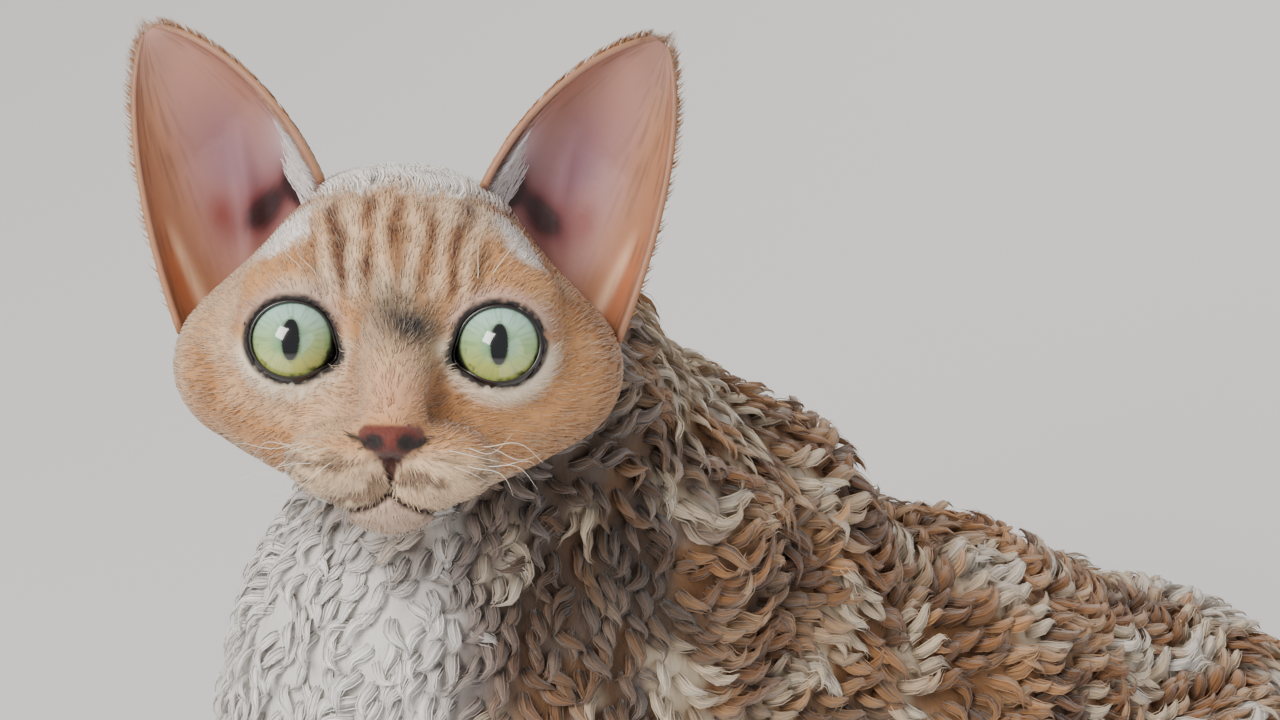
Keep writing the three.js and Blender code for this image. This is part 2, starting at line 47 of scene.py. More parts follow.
# Skin
# One surface under the whole coat, from the same muscles as the solids but a coat's depth inside
# them. It carries the markings, and painted shade where the coat over it is deep. The nose
# leather, lips, nostrils and eye openings are part of it.
BODY_COAT, LEG_COAT, PAW_COAT, TAIL_COAT, FACE_COAT = 6.5, 2.2, 1.2, 2.8, 1.0
HEAD_YAW, HEAD_RISE, HEAD_ROLL = 60.0, 30.0, 2.3
EYES_AT = np.array([50.0, -44.0, 300.0])
EYES_FORWARD = 38.0
EYE_APART, EYE_RADIUS = 43.4, 10.8
EYE_CENTRE = np.array([EYE_APART / 2, -27.5, 0.0])
LID_WIDE, LID_HIGH = 9.1, 8.4
EYE_CORNER, CORNER_SPREAD, CORNER_REACH = -2.75, 0.34, 0.16  # its turn in radians, down and in
FORE_AT, HIND_AT = 27.0, 51.0
NOSE_TOP = -17.0
MOUTH_HALF = 19.0


def turned(yaw, rise, roll):
    z = Matrix.Rotation(math.radians(yaw), 3, "Z")
    x = Matrix.Rotation(math.radians(-rise), 3, "X")
    return np.array(z @ x @ Matrix.Rotation(math.radians(roll), 3, "Y"))


HEAD_TURN = turned(HEAD_YAW, HEAD_RISE, HEAD_ROLL)
HEAD_AT = EYES_AT + HEAD_TURN @ np.array([0.0, EYES_FORWARD, 0.0])


def to_head(p):
    return (p - HEAD_AT) @ HEAD_TURN


def from_head(p):
    return np.asarray(p) @ HEAD_TURN.T + HEAD_AT


def mirrored(p):
    return np.concatenate([np.abs(p[..., :1]), p[..., 1:]], -1)


def blend(a, b, reach):
    h = np.maximum(reach - np.abs(a - b), 0) / reach
    return np.minimum(a, b) - h * h * reach / 4


def carve(a, b, reach):
    return -blend(-a, b, reach)


def blend_all(first, *rest):
    for shape, reach in rest:
        first = blend(first, shape, reach)
    return first


def lump(p, centre, radii):
    q = (p - np.array(centre)) / np.array(radii)
    near = np.linalg.norm(q, axis=-1)
    return near * (near - 1) / np.maximum(np.linalg.norm(q / np.array(radii), axis=-1), 1e-6)


def limb(p, a, b, ra, rb):
    a, b = np.array(a, float), np.array(b, float)
    t = np.clip((p - a) @ (b - a) / ((b - a) @ (b - a)), 0, 1)
    return np.linalg.norm(p - a - t[..., None] * (b - a), axis=-1) - (ra + (rb - ra) * t)


def head_form(p):
    m = mirrored(p)
    return blend_all(
        lump(p, (0, 8, 2), (36, 40, 36)),
        (lump(p, (0, -17, 13), (27, 18, 19)), 14),
        (lump(m, (27, -3, -5), (22, 26, 19)), 12),
        (lump(p, (0, -10, -16), (29, 26, 16)), 12),
        (limb(p, (0, -33, 2), (0, -46, -14), 9.5, 7), 8),
        (lump(m, (10, -39, -25), (13, 13, 9)), 7),
        (lump(p, (0, -36, -33), (11, 11, 8)), 6),
        (lump(m, (20, -25, 12), (13, 9, 6)), 8),
        (lump(p, (0, -50.5, -20), (7, 5.5, 4.5)), 3),
        (lump(m, (21.7, -27.5, 0), (13.4, 12.3, 13)), 5),
    )


def trunk_form(p):
    m = mirrored(p)
    return blend_all(
        lump(p, (0, -11, 172), (50, 54, 58)),
        (limb(p, (0, 40, 163), (0, 128, 112), 54, 50), 30),
        (limb(p, (0, 128, 112), (0, 203, 70), 50, 47), 30),
        (limb(p, (0, 203, 70), (0, 242, 50), 47, 41), 20),
        (lump(p, (0, 248, 34), (42, 36, 40)), 20),
        (limb(p, (0, 50, 132), (0, 180, 62), 42, 46), 20),
        (limb(p, (0, 10, 205), (-3, 8, 252), 46, 39), 26),
        (limb(p, (0, 18, 238), (0, 76, 188), 30, 35), 22),
        (limb(m, (24, 38, 204), (40, -4, 150), 25, 27), 20),
        (limb(m, (40, -4, 150), (37, 30, 112), 26, 20), 16),
    )


def toes(m, x, y, spread, size):
    return [
        (lump(m, (x + k * spread, y + abs(k) * 3, 7.5), size), 2) for k in (-1.5, -0.5, 0.5, 1.5)
    ]


def fore_form(m):
    return blend_all(
        limb(m, (36, 26, 118), (FORE_AT + 1, -6, 32), 18, 11) + LEG_COAT,
        (limb(m, (FORE_AT + 1, -6, 32), (FORE_AT, -16, 14), 11, 11.5) + PAW_COAT, 8),
        (lump(m, (FORE_AT, -26, 10), (15, 20, 12)) + PAW_COAT, 8),
        *[(d + PAW_COAT, k) for d, k in toes(m, FORE_AT, -40, 7, (5, 9.5, 7.8))],
    )


def thigh_form(m):
    return blend_all(
        lump(m, (38, 168, 68), (34, 64, 50)),
        (limb(m, (38, 200, 76), (50, 120, 60), 35, 27), 20),
        (limb(m, (51, 118, 48), (46, 190, 30), 22, 18), 14),
    )


def foot_form(m):
    return blend_all(
        limb(m, (44, 222, 13), (50, 130, 12), 12, 11.5),
        (lump(m, (HIND_AT, 112, 10), (16, 24, 12)), 8),
        *toes(m, HIND_AT, 94, 7.2, (5.2, 9.5, 7.8)),
    )


TAIL_ROOT_R, TAIL_TIP_R, SETTLE = 17.0, 6.0, 0.5
TAIL_COURSE = ((0, 258), (14, 288), (50, 297), (86, 262), (99, 196), (97, 132), (82, 78), (56, 44))
TAIL_ROOT_HEIGHTS = (36, 20)


def tail_radius(t):
    return TAIL_TIP_R + (TAIL_ROOT_R - TAIL_TIP_R) * (1 - t) ** 1.5


def tail_line(samples=32):
    """Points along the tail's middle line, a uniform Catmull-Rom curve."""
    last = len(TAIL_COURSE) - 1
    heights = [tail_radius(i / last) - SETTLE for i in range(last + 1)]
    heights[: len(TAIL_ROOT_HEIGHTS)] = TAIL_ROOT_HEIGHTS
    knots = np.array([(x, y, z) for (x, y), z in zip(TAIL_COURSE, heights)], float)
    knots = np.vstack([2 * knots[0] - knots[1], knots, 2 * knots[-1] - knots[-2]])
    t = np.linspace(0, last - 1e-9, samples)
    i = t.astype(int)
    f = (t - i)[:, None]
    a, b, c, d = (knots[i + k] for k in range(4))
    return 0.5 * (
        2 * b + (c - a) * f + (2 * a - 5 * b + 4 * c - d) * f**2 + (3 * b - a - 3 * c + d) * f**3
    )


TAIL_POINTS = tail_line()
TAIL_RADII = tail_radius(np.linspace(0, 1, len(TAIL_POINTS)))


TAIL_TOP = 60.0  # the tail lies below this height, and above it counts as this far away


def tail_form(p):
    low = p[..., 2] < TAIL_TOP
    near = p[low]
    best = np.full(len(near), 1e3)
    for i in range(len(TAIL_POINTS) - 1):
        a, b = TAIL_POINTS[i], TAIL_POINTS[i + 1]
        best = np.minimum(best, limb(near, a, b, TAIL_RADII[i], TAIL_RADII[i + 1]))
    away = np.full(p.shape[:-1], TAIL_TOP)
    away[low] = best
    return away


def across_eye(x, z, grow=0.0):
    """1 on the edge of the eye's opening, less inside it. The inner corner is drawn out."""
    x, z = x / (LID_WIDE + grow), z / (LID_HIGH + grow)
    off_corner = np.angle(np.exp(1j * (np.arctan2(z, x) - EYE_CORNER)))
    return np.hypot(x, z) / (1 + CORNER_REACH * np.exp(-((off_corner / CORNER_SPREAD) ** 2)))


def mouth_height(x):
    """Where the lips meet: low on each side of the groove under the nose."""
    return -31 - 4.8 * (1 - np.exp(-np.abs(x) / 4))


def face_cuts(h, skin):
    """Cuts the eye openings, the nostrils and the line of the mouth in the head's skin."""
    m = mirrored(h)
    q = m - EYE_CENTRE
    opening = np.maximum((across_eye(q[..., 0], q[..., 2]) - 1) * LID_HIGH, q[..., 1] + 2)
    ball = np.linalg.norm(q, axis=-1) - EYE_RADIUS + 0.4
    skin = np.maximum(skin, -np.minimum(opening, ball))
    skin = carve(skin, lump(m, (4.2, -55.2, -20.8), (2.3, 3.4, 1.5)), 1.2)
    skin = carve(skin, limb(m, (4.6, -56.5, -21.2), (8.2, -54.5, -19.6), 1.0, 0.4), 0.8)
    line = np.abs(h[..., 2] - mouth_height(h[..., 0])) - 0.25
    line = np.maximum(line, np.maximum(np.abs(h[..., 0]) - MOUTH_HALF, h[..., 1] + 30))
    lips = np.maximum(line, -(skin + 2.2))
    skin = carve(skin, lips, 1.6)
    beside = np.hypot(h[..., 0], np.minimum(h[..., 1] + 53, 0)) - 0.3
    groove = np.maximum(beside, np.abs(h[..., 2] + 28.7) - 2.6)
    return carve(skin, np.maximum(groove, -(skin + 1.2)), 1.2)


def coat_form(p, bare=1.0):
    """Distance to the skin, or with bare=0 to the tips of the coat."""
    m = mirrored(p)
    body = blend(trunk_form(p), thigh_form(m), 8) + BODY_COAT * bare
    body = blend(body, fore_form(m) - LEG_COAT * (1 - bare), 14)
    body = blend(body, foot_form(m) + PAW_COAT * bare, 8)
    body = blend(body, tail_form(p) + TAIL_COAT * bare, 10)
    h = to_head(p)
    head = face_cuts(h, head_form(h) + FACE_COAT * bare)
    return np.maximum(blend(head, body, 10), 0.4 - p[..., 2])


def spaced(low, high, fine_from, fine_to, coarse, fine):
    """Places along one axis, close together over the head and further apart elsewhere."""
    before = np.linspace(low, fine_from, max(2, round((fine_from - low) / coarse)), endpoint=False)
    middle = np.linspace(fine_from, fine_to, round((fine_to - fine_from) / fine), endpoint=False)
    after = np.linspace(fine_to, high, max(2, round((high - fine_to) / coarse)))
    return np.concatenate([before, middle, after])


def sampled(form, axes, block=12):
    """The form's distances on a grid. Blocks that lie well away from the surface get one value."""
    out = np.empty([len(a) for a in axes], np.float32)
    starts = [range(0, len(a), block) for a in axes]
    for i in starts[0]:
        for j in starts[1]:
            for k in starts[2]:
                part = [a[s : s + block] for a, s in zip(axes, (i, j, k))]
                low = np.array([a[0] for a in part])
                high = np.array([a[-1] for a in part])
                middle = float(form((low + high)[None] / 2)[0])
                here = (slice(i, i + block), slice(j, j + block), slice(k, k + block))
                if abs(middle) > np.linalg.norm(high - low) * 0.5 * 1.6 + 6:
                    out[here] = middle
                    continue
                out[here] = form(np.stack(np.meshgrid(*part, indexing="ij"), -1))
    return out


def wrapped(values, axes):
    """A surface of quads where the distances change sign, one vertex in each cell it crosses."""
    inside = values < 0
    corner = [(a, b, c) for a in (0, 1) for b in (0, 1) for c in (0, 1)]
    n = [s - 1 for s in values.shape]
    count = sum(inside[a : a + n[0], b : b + n[1], c : c + n[2]].astype(np.int8) for a, b, c in corner)
    cells = np.argwhere((count > 0) & (count < 8))
    total, hits = np.zeros((len(cells), 3)), np.zeros(len(cells))
    for one in corner:
        for axis in range(3):
            if one[axis]:
                continue
            two = list(one)
            two[axis] = 1
            a, b = cells + one, cells + two
            va, vb = values[tuple(a.T)], values[tuple(b.T)]
            cross = (va < 0) != (vb < 0)
            t = np.where(cross, va / np.where(cross, va - vb, 1), 0)[:, None]
            pa = np.stack([axes[d][a[:, d]] for d in range(3)], -1)
            pb = np.stack([axes[d][b[:, d]] for d in range(3)], -1)
            total += np.where(cross[:, None], pa + t * (pb - pa), 0)
            hits += cross
    number = np.full(n, -1, np.int64)
    number[tuple(cells.T)] = np.arange(len(cells))
    quads = []
    for axis in range(3):
        u, v = (axis + 1) % 3, (axis + 2) % 3
        step = np.eye(3, dtype=int)
        low = np.take(inside, range(n[axis]), axis)
        high = np.take(inside, range(1, n[axis] + 1), axis)
        edge = np.argwhere(low != high)
        edge = edge[(edge[:, u] > 0) & (edge[:, u] < n[u]) & (edge[:, v] > 0) & (edge[:, v] < n[v])]
        ring = [edge - step[u] - step[v], edge - step[v], edge, edge - step[u]]
        quad = np.stack([number[tuple(r.T)] for r in ring], -1)
        out = low[tuple(edge.T)]
        quads.append(np.where(out[:, None], quad, quad[:, ::-1]))
    return total / hits[:, None], np.concatenate(quads)


def slope(form, p, step=0.3):
    """The direction out of a form at points, of unit length."""
    out = np.stack([form(p + d) - form(p - d) for d in np.eye(3) * step], -1)
    return out / np.maximum(np.linalg.norm(out, axis=-1, keepdims=True), 1e-9)


def noise(p, size, seed=0):
    """Smooth noise from 0 to 1 whose features are about size across."""
    q = p / size + seed * 17.31
    cell = np.floor(q).astype(np.int64)
    f = q - cell
    f = f * f * (3 - 2 * f)
    out = np.zeros(p.shape[:-1])
    for i in (0, 1):
        for j in (0, 1):
            for k in (0, 1):
                c = cell + (i, j, k)
                n = (c[..., 0] * 374761393 + c[..., 1] * 668265263 + c[..., 2] * 2147483647 + seed * 974711)
                n = (n ^ (n >> 13)) * 1274126177
                n = ((n ^ (n >> 16)) & 0xFFFF) / 0xFFFF
                w = np.where(i, f[..., 0], 1 - f[..., 0]) * np.where(j, f[..., 1], 1 - f[..., 1])
                out += n * w * np.where(k, f[..., 2], 1 - f[..., 2])
    return out


def ramp(x, low, high):
    t = np.clip((x - low) / (high - low), 0, 1)
    return t * t * (3 - 2 * t)


def colour(code):
    """A hex colour as linear light."""
    c = np.array([int(code[i : i + 2], 16) / 255 for i in (1, 3, 5)])
    return np.where(c < 0.04045, c / 12.92, ((c + 0.055) / 1.055) ** 2.4)


def tint(base, code, share):
    return base + (colour(code) - base) * np.clip(share, 0, 1)[..., None]


GINGER, DARK_GINGER, GREY_BROWN = "#c48d58", "#87532b", "#76604e"
CREAM, WHITE = "#e8d2b2", "#f3efea"


def in_leather(h):
    """1 on the bare leather of the nose: broad at the nostrils, narrowing to its foot."""
    x, y, z = (h[..., i] for i in range(3))
    half = np.interp(z, (-29.0, -25.5, -23.2, -21.2, -18.6, NOSE_TOP), (0.7, 1.7, 3.2, 6.6, 7.0, 5.6))
    inside = np.minimum(np.minimum(half - np.abs(x), NOSE_TOP - z), z + 29.0)
    return ramp(inside, -0.3, 0.5) * ramp(-y, 44, 47)


def on_crown(h):
    """1 on the white patch between the ears."""
    x, y, z = (h[..., i] for i in range(3))
    ragged = 5 * (noise(h, 5, 12) - 0.5)
    patch = ramp(z + 0.3 * y + ragged, 25, 28) * ramp(-np.abs(x - 3) + ragged, -22, -18)
    return patch * ramp(-y + ragged, -24, -12)


def head_markings(h):
    """Ginger and cream, striped on the forehead, dark between the eyes, white on the crown."""
    m = mirrored(h)
    x, y, z = (h[..., i] for i in range(3))
    rough = noise(h, 6, 1) - 0.5
    front = ramp(-y, 18, 30)
    c = np.broadcast_to(colour(GINGER), h.shape).copy()
    c = tint(c, DARK_GINGER, 0.45 * ramp(noise(h, 9, 2), 0.5, 0.8))
    c = tint(c, CREAM, 0.4 * ramp(noise(h, 11, 13), 0.5, 0.75))
    fan = x / (1 + 0.012 * (z - 8))
    stripes = 0.5 + 0.5 * np.cos((fan + 2.4 * rough) * 2 * np.pi / 5.6)
    broken = 0.45 + 0.55 * ramp(noise(h * (1, 1, 0.45), 5, 14), 0.3, 0.6)
    brow = ramp(z, 5, 12) * ramp(-z, -33, -27) * ramp(-np.abs(x), -21, -15) * ramp(-y, -8, 4)
    c = tint(c, CREAM, 0.5 * (1 - stripes) * brow)
    c = tint(c, "#5d3417", 1.1 * stripes**1.4 * broken * brow)
    smudge = np.exp(-(((x - 4.5) / 6) ** 2) - ((z - 2.5) / 5) ** 2)
    smudge += 0.7 * np.exp(-(((x + 2) / 5) ** 2) - ((z - 7) / 6) ** 2)
    c = tint(c, "#2e2520", 0.95 * smudge * front)
    c = tint(c, "#7a5238", 0.4 * np.exp(-((np.abs(x) - 8.5) / 3) ** 2 - ((z + 9) / 9) ** 2) * front)
    c = tint(c, "#c9906e", 0.7 * np.exp(-((x / 7) ** 2) - ((z + 11) / 6) ** 2) * front)
    from_eye = np.hypot(m[..., 0] - EYE_CENTRE[0], z) + np.maximum(y + 20, 0)
    c = tint(c, "#efe0c8", 0.85 * ramp(-from_eye, -14.5, -11) * ramp(-z + 2 * rough, -3, 3))
    c = tint(c, "#b39a92", 0.6 * ramp(-from_eye, -13.5, -10.5) * ramp(z, 1, 5))
    pads = ramp(-z, 20, 26) * ramp(-y, 26, 36)
    c = tint(c, "#d9bf9e", 0.75 * pads)
    c = tint(c, "#634633", 0.8 * pads * ramp(noise(h * (0.6, 1, 1.5), 2.6, 15), 0.5, 0.72))
    chin = ramp(mouth_height(x) - z, -0.4, 1.5) * ramp(-np.abs(x), -13, -8) * ramp(-y, 26, 34)
    c = tint(c, "#ae9281", 0.85 * chin)
    c = tint(c, WHITE, 0.8 * ramp(-z, 41, 45) * ramp(-y, 0, 20))
    c = tint(c, WHITE, on_crown(h))
    ear_root = np.linalg.norm((m - np.array([30.0, -20.0, 24.0])) / (1.1, 1, 0.8), axis=-1) + 5 * rough
    c = tint(c, WHITE, 0.95 * ramp(-ear_root, -12.5, -7.5))
    # Painted shade: darker brown low behind the cheeks, where the head meets the neck.
    behind = ramp(y, -2, 8) * ramp(-z, -30, -22) * ramp(m[..., 0], 26, 33)
    c = tint(c, "#7d5a40", 0.5 * behind)
    nose = in_leather(h)
    c = tint(c, "#66291f", nose)
    c = tint(c, "#401812", nose * ramp(-z, 20.5, 24))
    # Painted shade: the nostrils and the slits beside them near black, for the dark inside their openings.
    c = tint(c, "#170a08", ramp(-lump(m, (4.2, -55.2, -20.8), (2.6, 3.6, 1.7)), -0.9, 0.1))
    flat = h * (1, 0, 1)
    wing = limb(mirrored(flat), (4.6, 0, -21.3), (8.6, 0, -19.4), 0.9, 0.35)
    c = tint(c, "#1d0e0b", ramp(-wing, -0.5, 0.2) * ramp(-y, 44, 48))
    groove = ramp(-np.abs(x), -1.0, -0.2) * ramp(-z, 25.5, 27.5) * ramp(z, -32, -31)
    c = tint(c, "#3a1d17", groove * ramp(-y, 40, 46))
    lips = ramp(-np.abs(z - mouth_height(x)), -1.2, -0.3) * ramp(-y, 30, 34)
    c = tint(c, "#3b251d", lips * (0.3 + 0.7 * ramp(-np.abs(x), -12, -7)) * ramp(-np.abs(x), -19, -13))
    rim = across_eye(m[..., 0] - EYE_CENTRE[0], z, 1.1)
    return tint(c, "#1a1210", ramp(-rim, -1.07, -0.98) * ramp(-y, 20, 26))


def body_markings(p):
    """Ginger and grey-brown, white on the chest, belly and paws, with cream flecks and painted shade under
    the jaw.
    """
    x, y, z = (p[..., i] for i in range(3))
    wave = noise(p, 26, 4) - 0.5
    fine = noise(p, 7, 5) - 0.5
    c = np.broadcast_to(colour("#95612f"), p.shape).copy()
    c = tint(c, GINGER, ramp(noise(p, 13, 6), 0.36, 0.66))
    c = tint(c, "#d2a577", 0.8 * ramp(noise(p, 9, 16), 0.55, 0.8))
    c = tint(c, "#5b3a20", 0.75 * ramp(noise(p, 10, 8), 0.55, 0.78))
    shoulder = ramp(-y + 24 * wave, -62, -18) * ramp(z, 70, 110)
    c = tint(c, GREY_BROWN, 0.75 * shoulder * ramp(noise(p, 12, 7), 0.3, 0.6))
    c = tint(c, "#b5a398", 0.75 * shoulder * ramp(noise(p, 9, 17), 0.5, 0.72))
    # Painted shade: darker brown on the sides of the neck under the jaw, where the head shades it.
    shade_under_jaw = ramp(z + 12 * wave, 175, 205) * ramp(-y, -40, -15) * ramp(np.abs(x), 8, 24)
    c = tint(c, "#4b3424", 0.7 * shade_under_jaw)
    rump = ramp(y, 110, 215)
    nape = ramp(z, 205, 235) * ramp(y, 25, 50)
    flecks = noise(p, 10, 9) + 0.2 * rump + 0.3 * nape
    c = tint(c, CREAM, ramp(flecks, 0.62, 0.8) * 0.9)
    c = tint(c, WHITE, ramp(flecks, 0.8, 1.0) * 0.6)
    beside = ramp(-y + 20 * wave + 10 * fine, 2, 26) * ramp(z, 60, 95)
    c = tint(c, "#ab9c95", 0.8 * beside)
    bib = ramp(-y + 18 * wave + 12 * fine, 17, 33) * ramp(z, 60, 95)
    belly = ramp(-z + 20 * wave, -52, -38) * ramp(-np.abs(x), -34, -22) * ramp(-y, -200, -170)
    c = tint(c, WHITE, np.maximum(bib, belly))
    legs = ramp(-z + 26 * wave, -92, -72) * ramp(-y, -60, -40)
    paws = ramp(-z + 14 * wave, -26, -16) * ramp(-y, -150, -125)
    tail = ramp(np.abs(x), 70, 78) + ramp(y, 262, 275)
    return tint(c, WHITE, np.maximum(legs, paws) * (1 - np.clip(tail, 0, 1)))


def markings(p):
    h = to_head(p)
    in_head = ramp(-(head_form(h) - 5), -4, 3)
    edge = ramp(24 - (h[..., 1] - h[..., 2]) + 8 * (noise(p, 14, 11) - 0.5), -6, 6)
    share = (in_head * edge)[..., None]
    return head_markings(h) * share + body_markings(p) * (1 - share)


def shown(name, points, faces, body="root", smooth=True):
    """A mesh at the origin from points in the cat's millimetres. Faces all have the same count."""
    mesh = bpy.data.meshes.new(name)
    points = (np.asarray(points) - ORIGIN) * MM
    faces = np.asarray(faces)
    n, sides = faces.shape
    mesh.vertices.add(len(points))
    mesh.vertices.foreach_set("co", points.astype(np.float32).ravel())
    mesh.loops.add(n * sides)
    mesh.loops.foreach_set("vertex_index", faces.astype(np.int32).ravel())
    mesh.polygons.add(n)
    mesh.polygons.foreach_set("loop_start", np.arange(0, n * sides, sides, dtype=np.int32))
    mesh.polygons.foreach_set("use_smooth", np.full(n, smooth))
    mesh.update(calc_edges=True)
    made = bpy.data.objects.new(name, mesh)
    bpy.context.scene.collection.objects.link(made)
    if body:
        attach(made, body)
    return made


def painted(made, colours, name="markings"):
    """Stores a colour for each vertex."""
    layer = made.data.color_attributes.new(name, "FLOAT_COLOR", "POINT")
    rgba = np.concatenate([colours, np.ones((len(colours), 1))], -1)
    layer.data.foreach_set("color", rgba.astype(np.float32).ravel())
    return made


def material(name, rough=0.6, base=(0.5, 0.5, 0.5), **inputs):
    made = bpy.data.materials.new(name)
    made.use_nodes = True
    shader = made.node_tree.nodes["Principled BSDF"]
    shader.inputs["Base Color"].default_value = (*base, 1)
    shader.inputs["Roughness"].default_value = rough
    for key, value in inputs.items():
        shader.inputs[key.replace("_", " ")].default_value = value
    return made, made.node_tree, shader


def node(tree, kind, **values):
    made = tree.nodes.new(kind)
    for key, value in values.items():
        setattr(made, key, value)
    return made


def bump(tree, shader, scale, strength, distance=0.0004, detail=4.0, stretch=(1, 1, 1)):
    """Fine relief from noise in the object's own coordinates."""
    place = node(tree, "ShaderNodeTexCoord")
    mapped = node(tree, "ShaderNodeMapping")
    mapped.inputs["Scale"].default_value = stretch
    grain = node(tree, "ShaderNodeTexNoise")
    grain.inputs["Scale"].default_value = scale
    grain.inputs["Detail"].default_value = detail
    relief = node(tree, "ShaderNodeBump")
    relief.inputs["Strength"].default_value = strength
    relief.inputs["Distance"].default_value = distance
    tree.links.new(place.outputs["Object"], mapped.inputs["Vector"])
    tree.links.new(mapped.outputs["Vector"], grain.inputs["Vector"])
    tree.links.new(grain.outputs["Fac"], relief.inputs["Height"])
    tree.links.new(relief.outputs["Normal"], shader.inputs["Normal"])
    return grain


def marked(name, rough, layer="markings", **inputs):
    """A material in the colours stored on the mesh."""
    made, tree, shader = material(name, rough, **inputs)
    marks = node(tree, "ShaderNodeVertexColor", layer_name=layer)
    tree.links.new(marks.outputs["Color"], shader.inputs["Base Color"])
    return made, tree, shader


skin_stuff, tree, shader = marked("skin", 0.72, Sheen_Weight=0.15)
bump(tree, shader, 520, 0.8, distance=0.001, detail=6.0, stretch=(1.0, 1.0, 0.4))

COARSE, MIDDLE, FINE = ((3.0, 1.6, 1.1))
grid = (
    spaced(-96, 104, -20, 98, COARSE, FINE),
    spaced(-96, 312, -88, 14, COARSE, FINE),
    spaced(-4, 350, 250, 340, COARSE, FINE),
)
skin_points, skin_quads = wrapped(sampled(coat_form, grid), grid)
PULLS = 2  # of the points onto the form
for _ in range(PULLS):
    skin_points = skin_points - slope(coat_form, skin_points) * coat_form(skin_points)[:, None] * 0.8
CURL_SHADOW = 0.5  # painted shade on the skin under the curls: how dark it is, as a share of their tips


def under_coat(p):
    """The skin's colours, with painted shade under the coat where that is deep."""
    deep = ramp(head_form(to_head(p)), 1, 6) * ramp(fore_form(mirrored(p)), 2, 8)
    deep = deep * ramp(tail_form(p), 2, 8)
    marks = markings(p)
    shade = (1 - CURL_SHADOW) * deep[..., None] * (1 - 0.6 * marks.mean(-1, keepdims=True))
    return marks * (1 - shade)


skin = painted(shown("skin", skin_points, skin_quads), under_coat(skin_points))
skin.data.materials.append(skin_stuff)
FLESH = ["head", "nose", "neck", "torso", "tail_base", "tail_middle", "tail_tip"]
for part in ("foreleg", "forepaw", "thigh", "hindfoot"):
    FLESH += [part + "_left", part + "_right"]
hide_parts(*FLESH)


# Eyes
# Each is one wet ball with a raised cornea. The iris is pale green, darker round its rim, with a
# slit pupil. It sits in its socket under a dark rim of lid.
eye_stuff, _, _ = marked(
    "eye", 0.12, "iris", Coat_Weight=1.0, Coat_Roughness=0.03, Specular_IOR_Level=0.6
)
lid_stuff, _, _ = material("lid", 0.35, base=colour("#1d1513"), Coat_Weight=0.5)
IRIS_R, CORNEA_RISE = 8.5, 0.7
PUPIL_HALF_WIDTH, PUPIL_HALF_HEIGHT = 1.85, 4.4
BALL_FIT = 0.985  # the ball's size as a share of its socket
LID_THICK, LID_STEPS, LID_SIDES = 0.8, 96, 12


def between_rings(rings, sides, looped=False):
    """Quads between rings of points. Looped also joins the last ring to the first."""
    i, k = np.meshgrid(np.arange(rings if looped else rings - 1), np.arange(sides), indexing="ij")
    n, up = (k + 1) % sides, (i + 1) % rings
    return np.stack([i * sides + k, i * sides + n, up * sides + n, up * sides + k], -1).reshape(-1, 4)


def sphere(rings, sides):
    """Unit sphere points round the -Y axis, with its quads. The poles are small rings."""
    t = np.linspace(0.004, math.pi - 0.004, rings)[:, None]
    a = np.linspace(0, 2 * math.pi, sides, endpoint=False)[None]
    p = np.stack([np.sin(t) * np.cos(a), -np.cos(t) + 0 * a, np.sin(t) * np.sin(a)], -1)
    return p.reshape(-1, 3), between_rings(rings, sides)


def iris_colours(q):
    """Colours of the eye's front, by the place across it in millimetres."""
    x, z = q[:, 0], q[:, 2]
    r = np.hypot(x, z)
    a = np.arctan2(z, x)
    c = np.broadcast_to(colour("#9cba7c"), q.shape).copy()
    c = tint(c, "#aacfc0", ramp(z, -1, 6))
    c = tint(c, "#b7bd62", ramp(-z, 0, 6) * 0.9)
    c = tint(c, "#6b9c80", 0.8 * ramp(-r, -5.2, -2.2))
    fibres = noise(np.stack([np.cos(a) * 26, np.sin(a) * 26, r * 0.5], -1), 1.0, 20)
    c = tint(c, "#7b9468", 0.5 * ramp(fibres, 0.45, 0.9))
    specks = noise(q, 0.8, 21)
    c = tint(c, "#3f3a24", 0.85 * ramp(specks, 0.6, 0.78) * ramp(r, 6.2, 8.0) * ramp(-z, -2, 3))
    c = tint(c, "#232a1f", ramp(r, IRIS_R - 0.9, IRIS_R))
    slit = PUPIL_HALF_WIDTH * np.sqrt(np.clip(1 - (np.abs(z) / PUPIL_HALF_HEIGHT) ** 2.2, 0, 1))
    by_slit = ramp(slit + 0.9 - np.abs(x), 0, 0.9) * (np.abs(z) < PUPIL_HALF_HEIGHT + 0.6)
    c = tint(c, "#55603c", 0.6 * by_slit)
    c = tint(c, "#050505", ramp(slit - np.abs(x), -0.15, 0.1) * (np.abs(z) < PUPIL_HALF_HEIGHT))
    return tint(c, "#120d0c", ramp(r, IRIS_R - 0.1, IRIS_R + 0.4) + (q[:, 1] > 0))


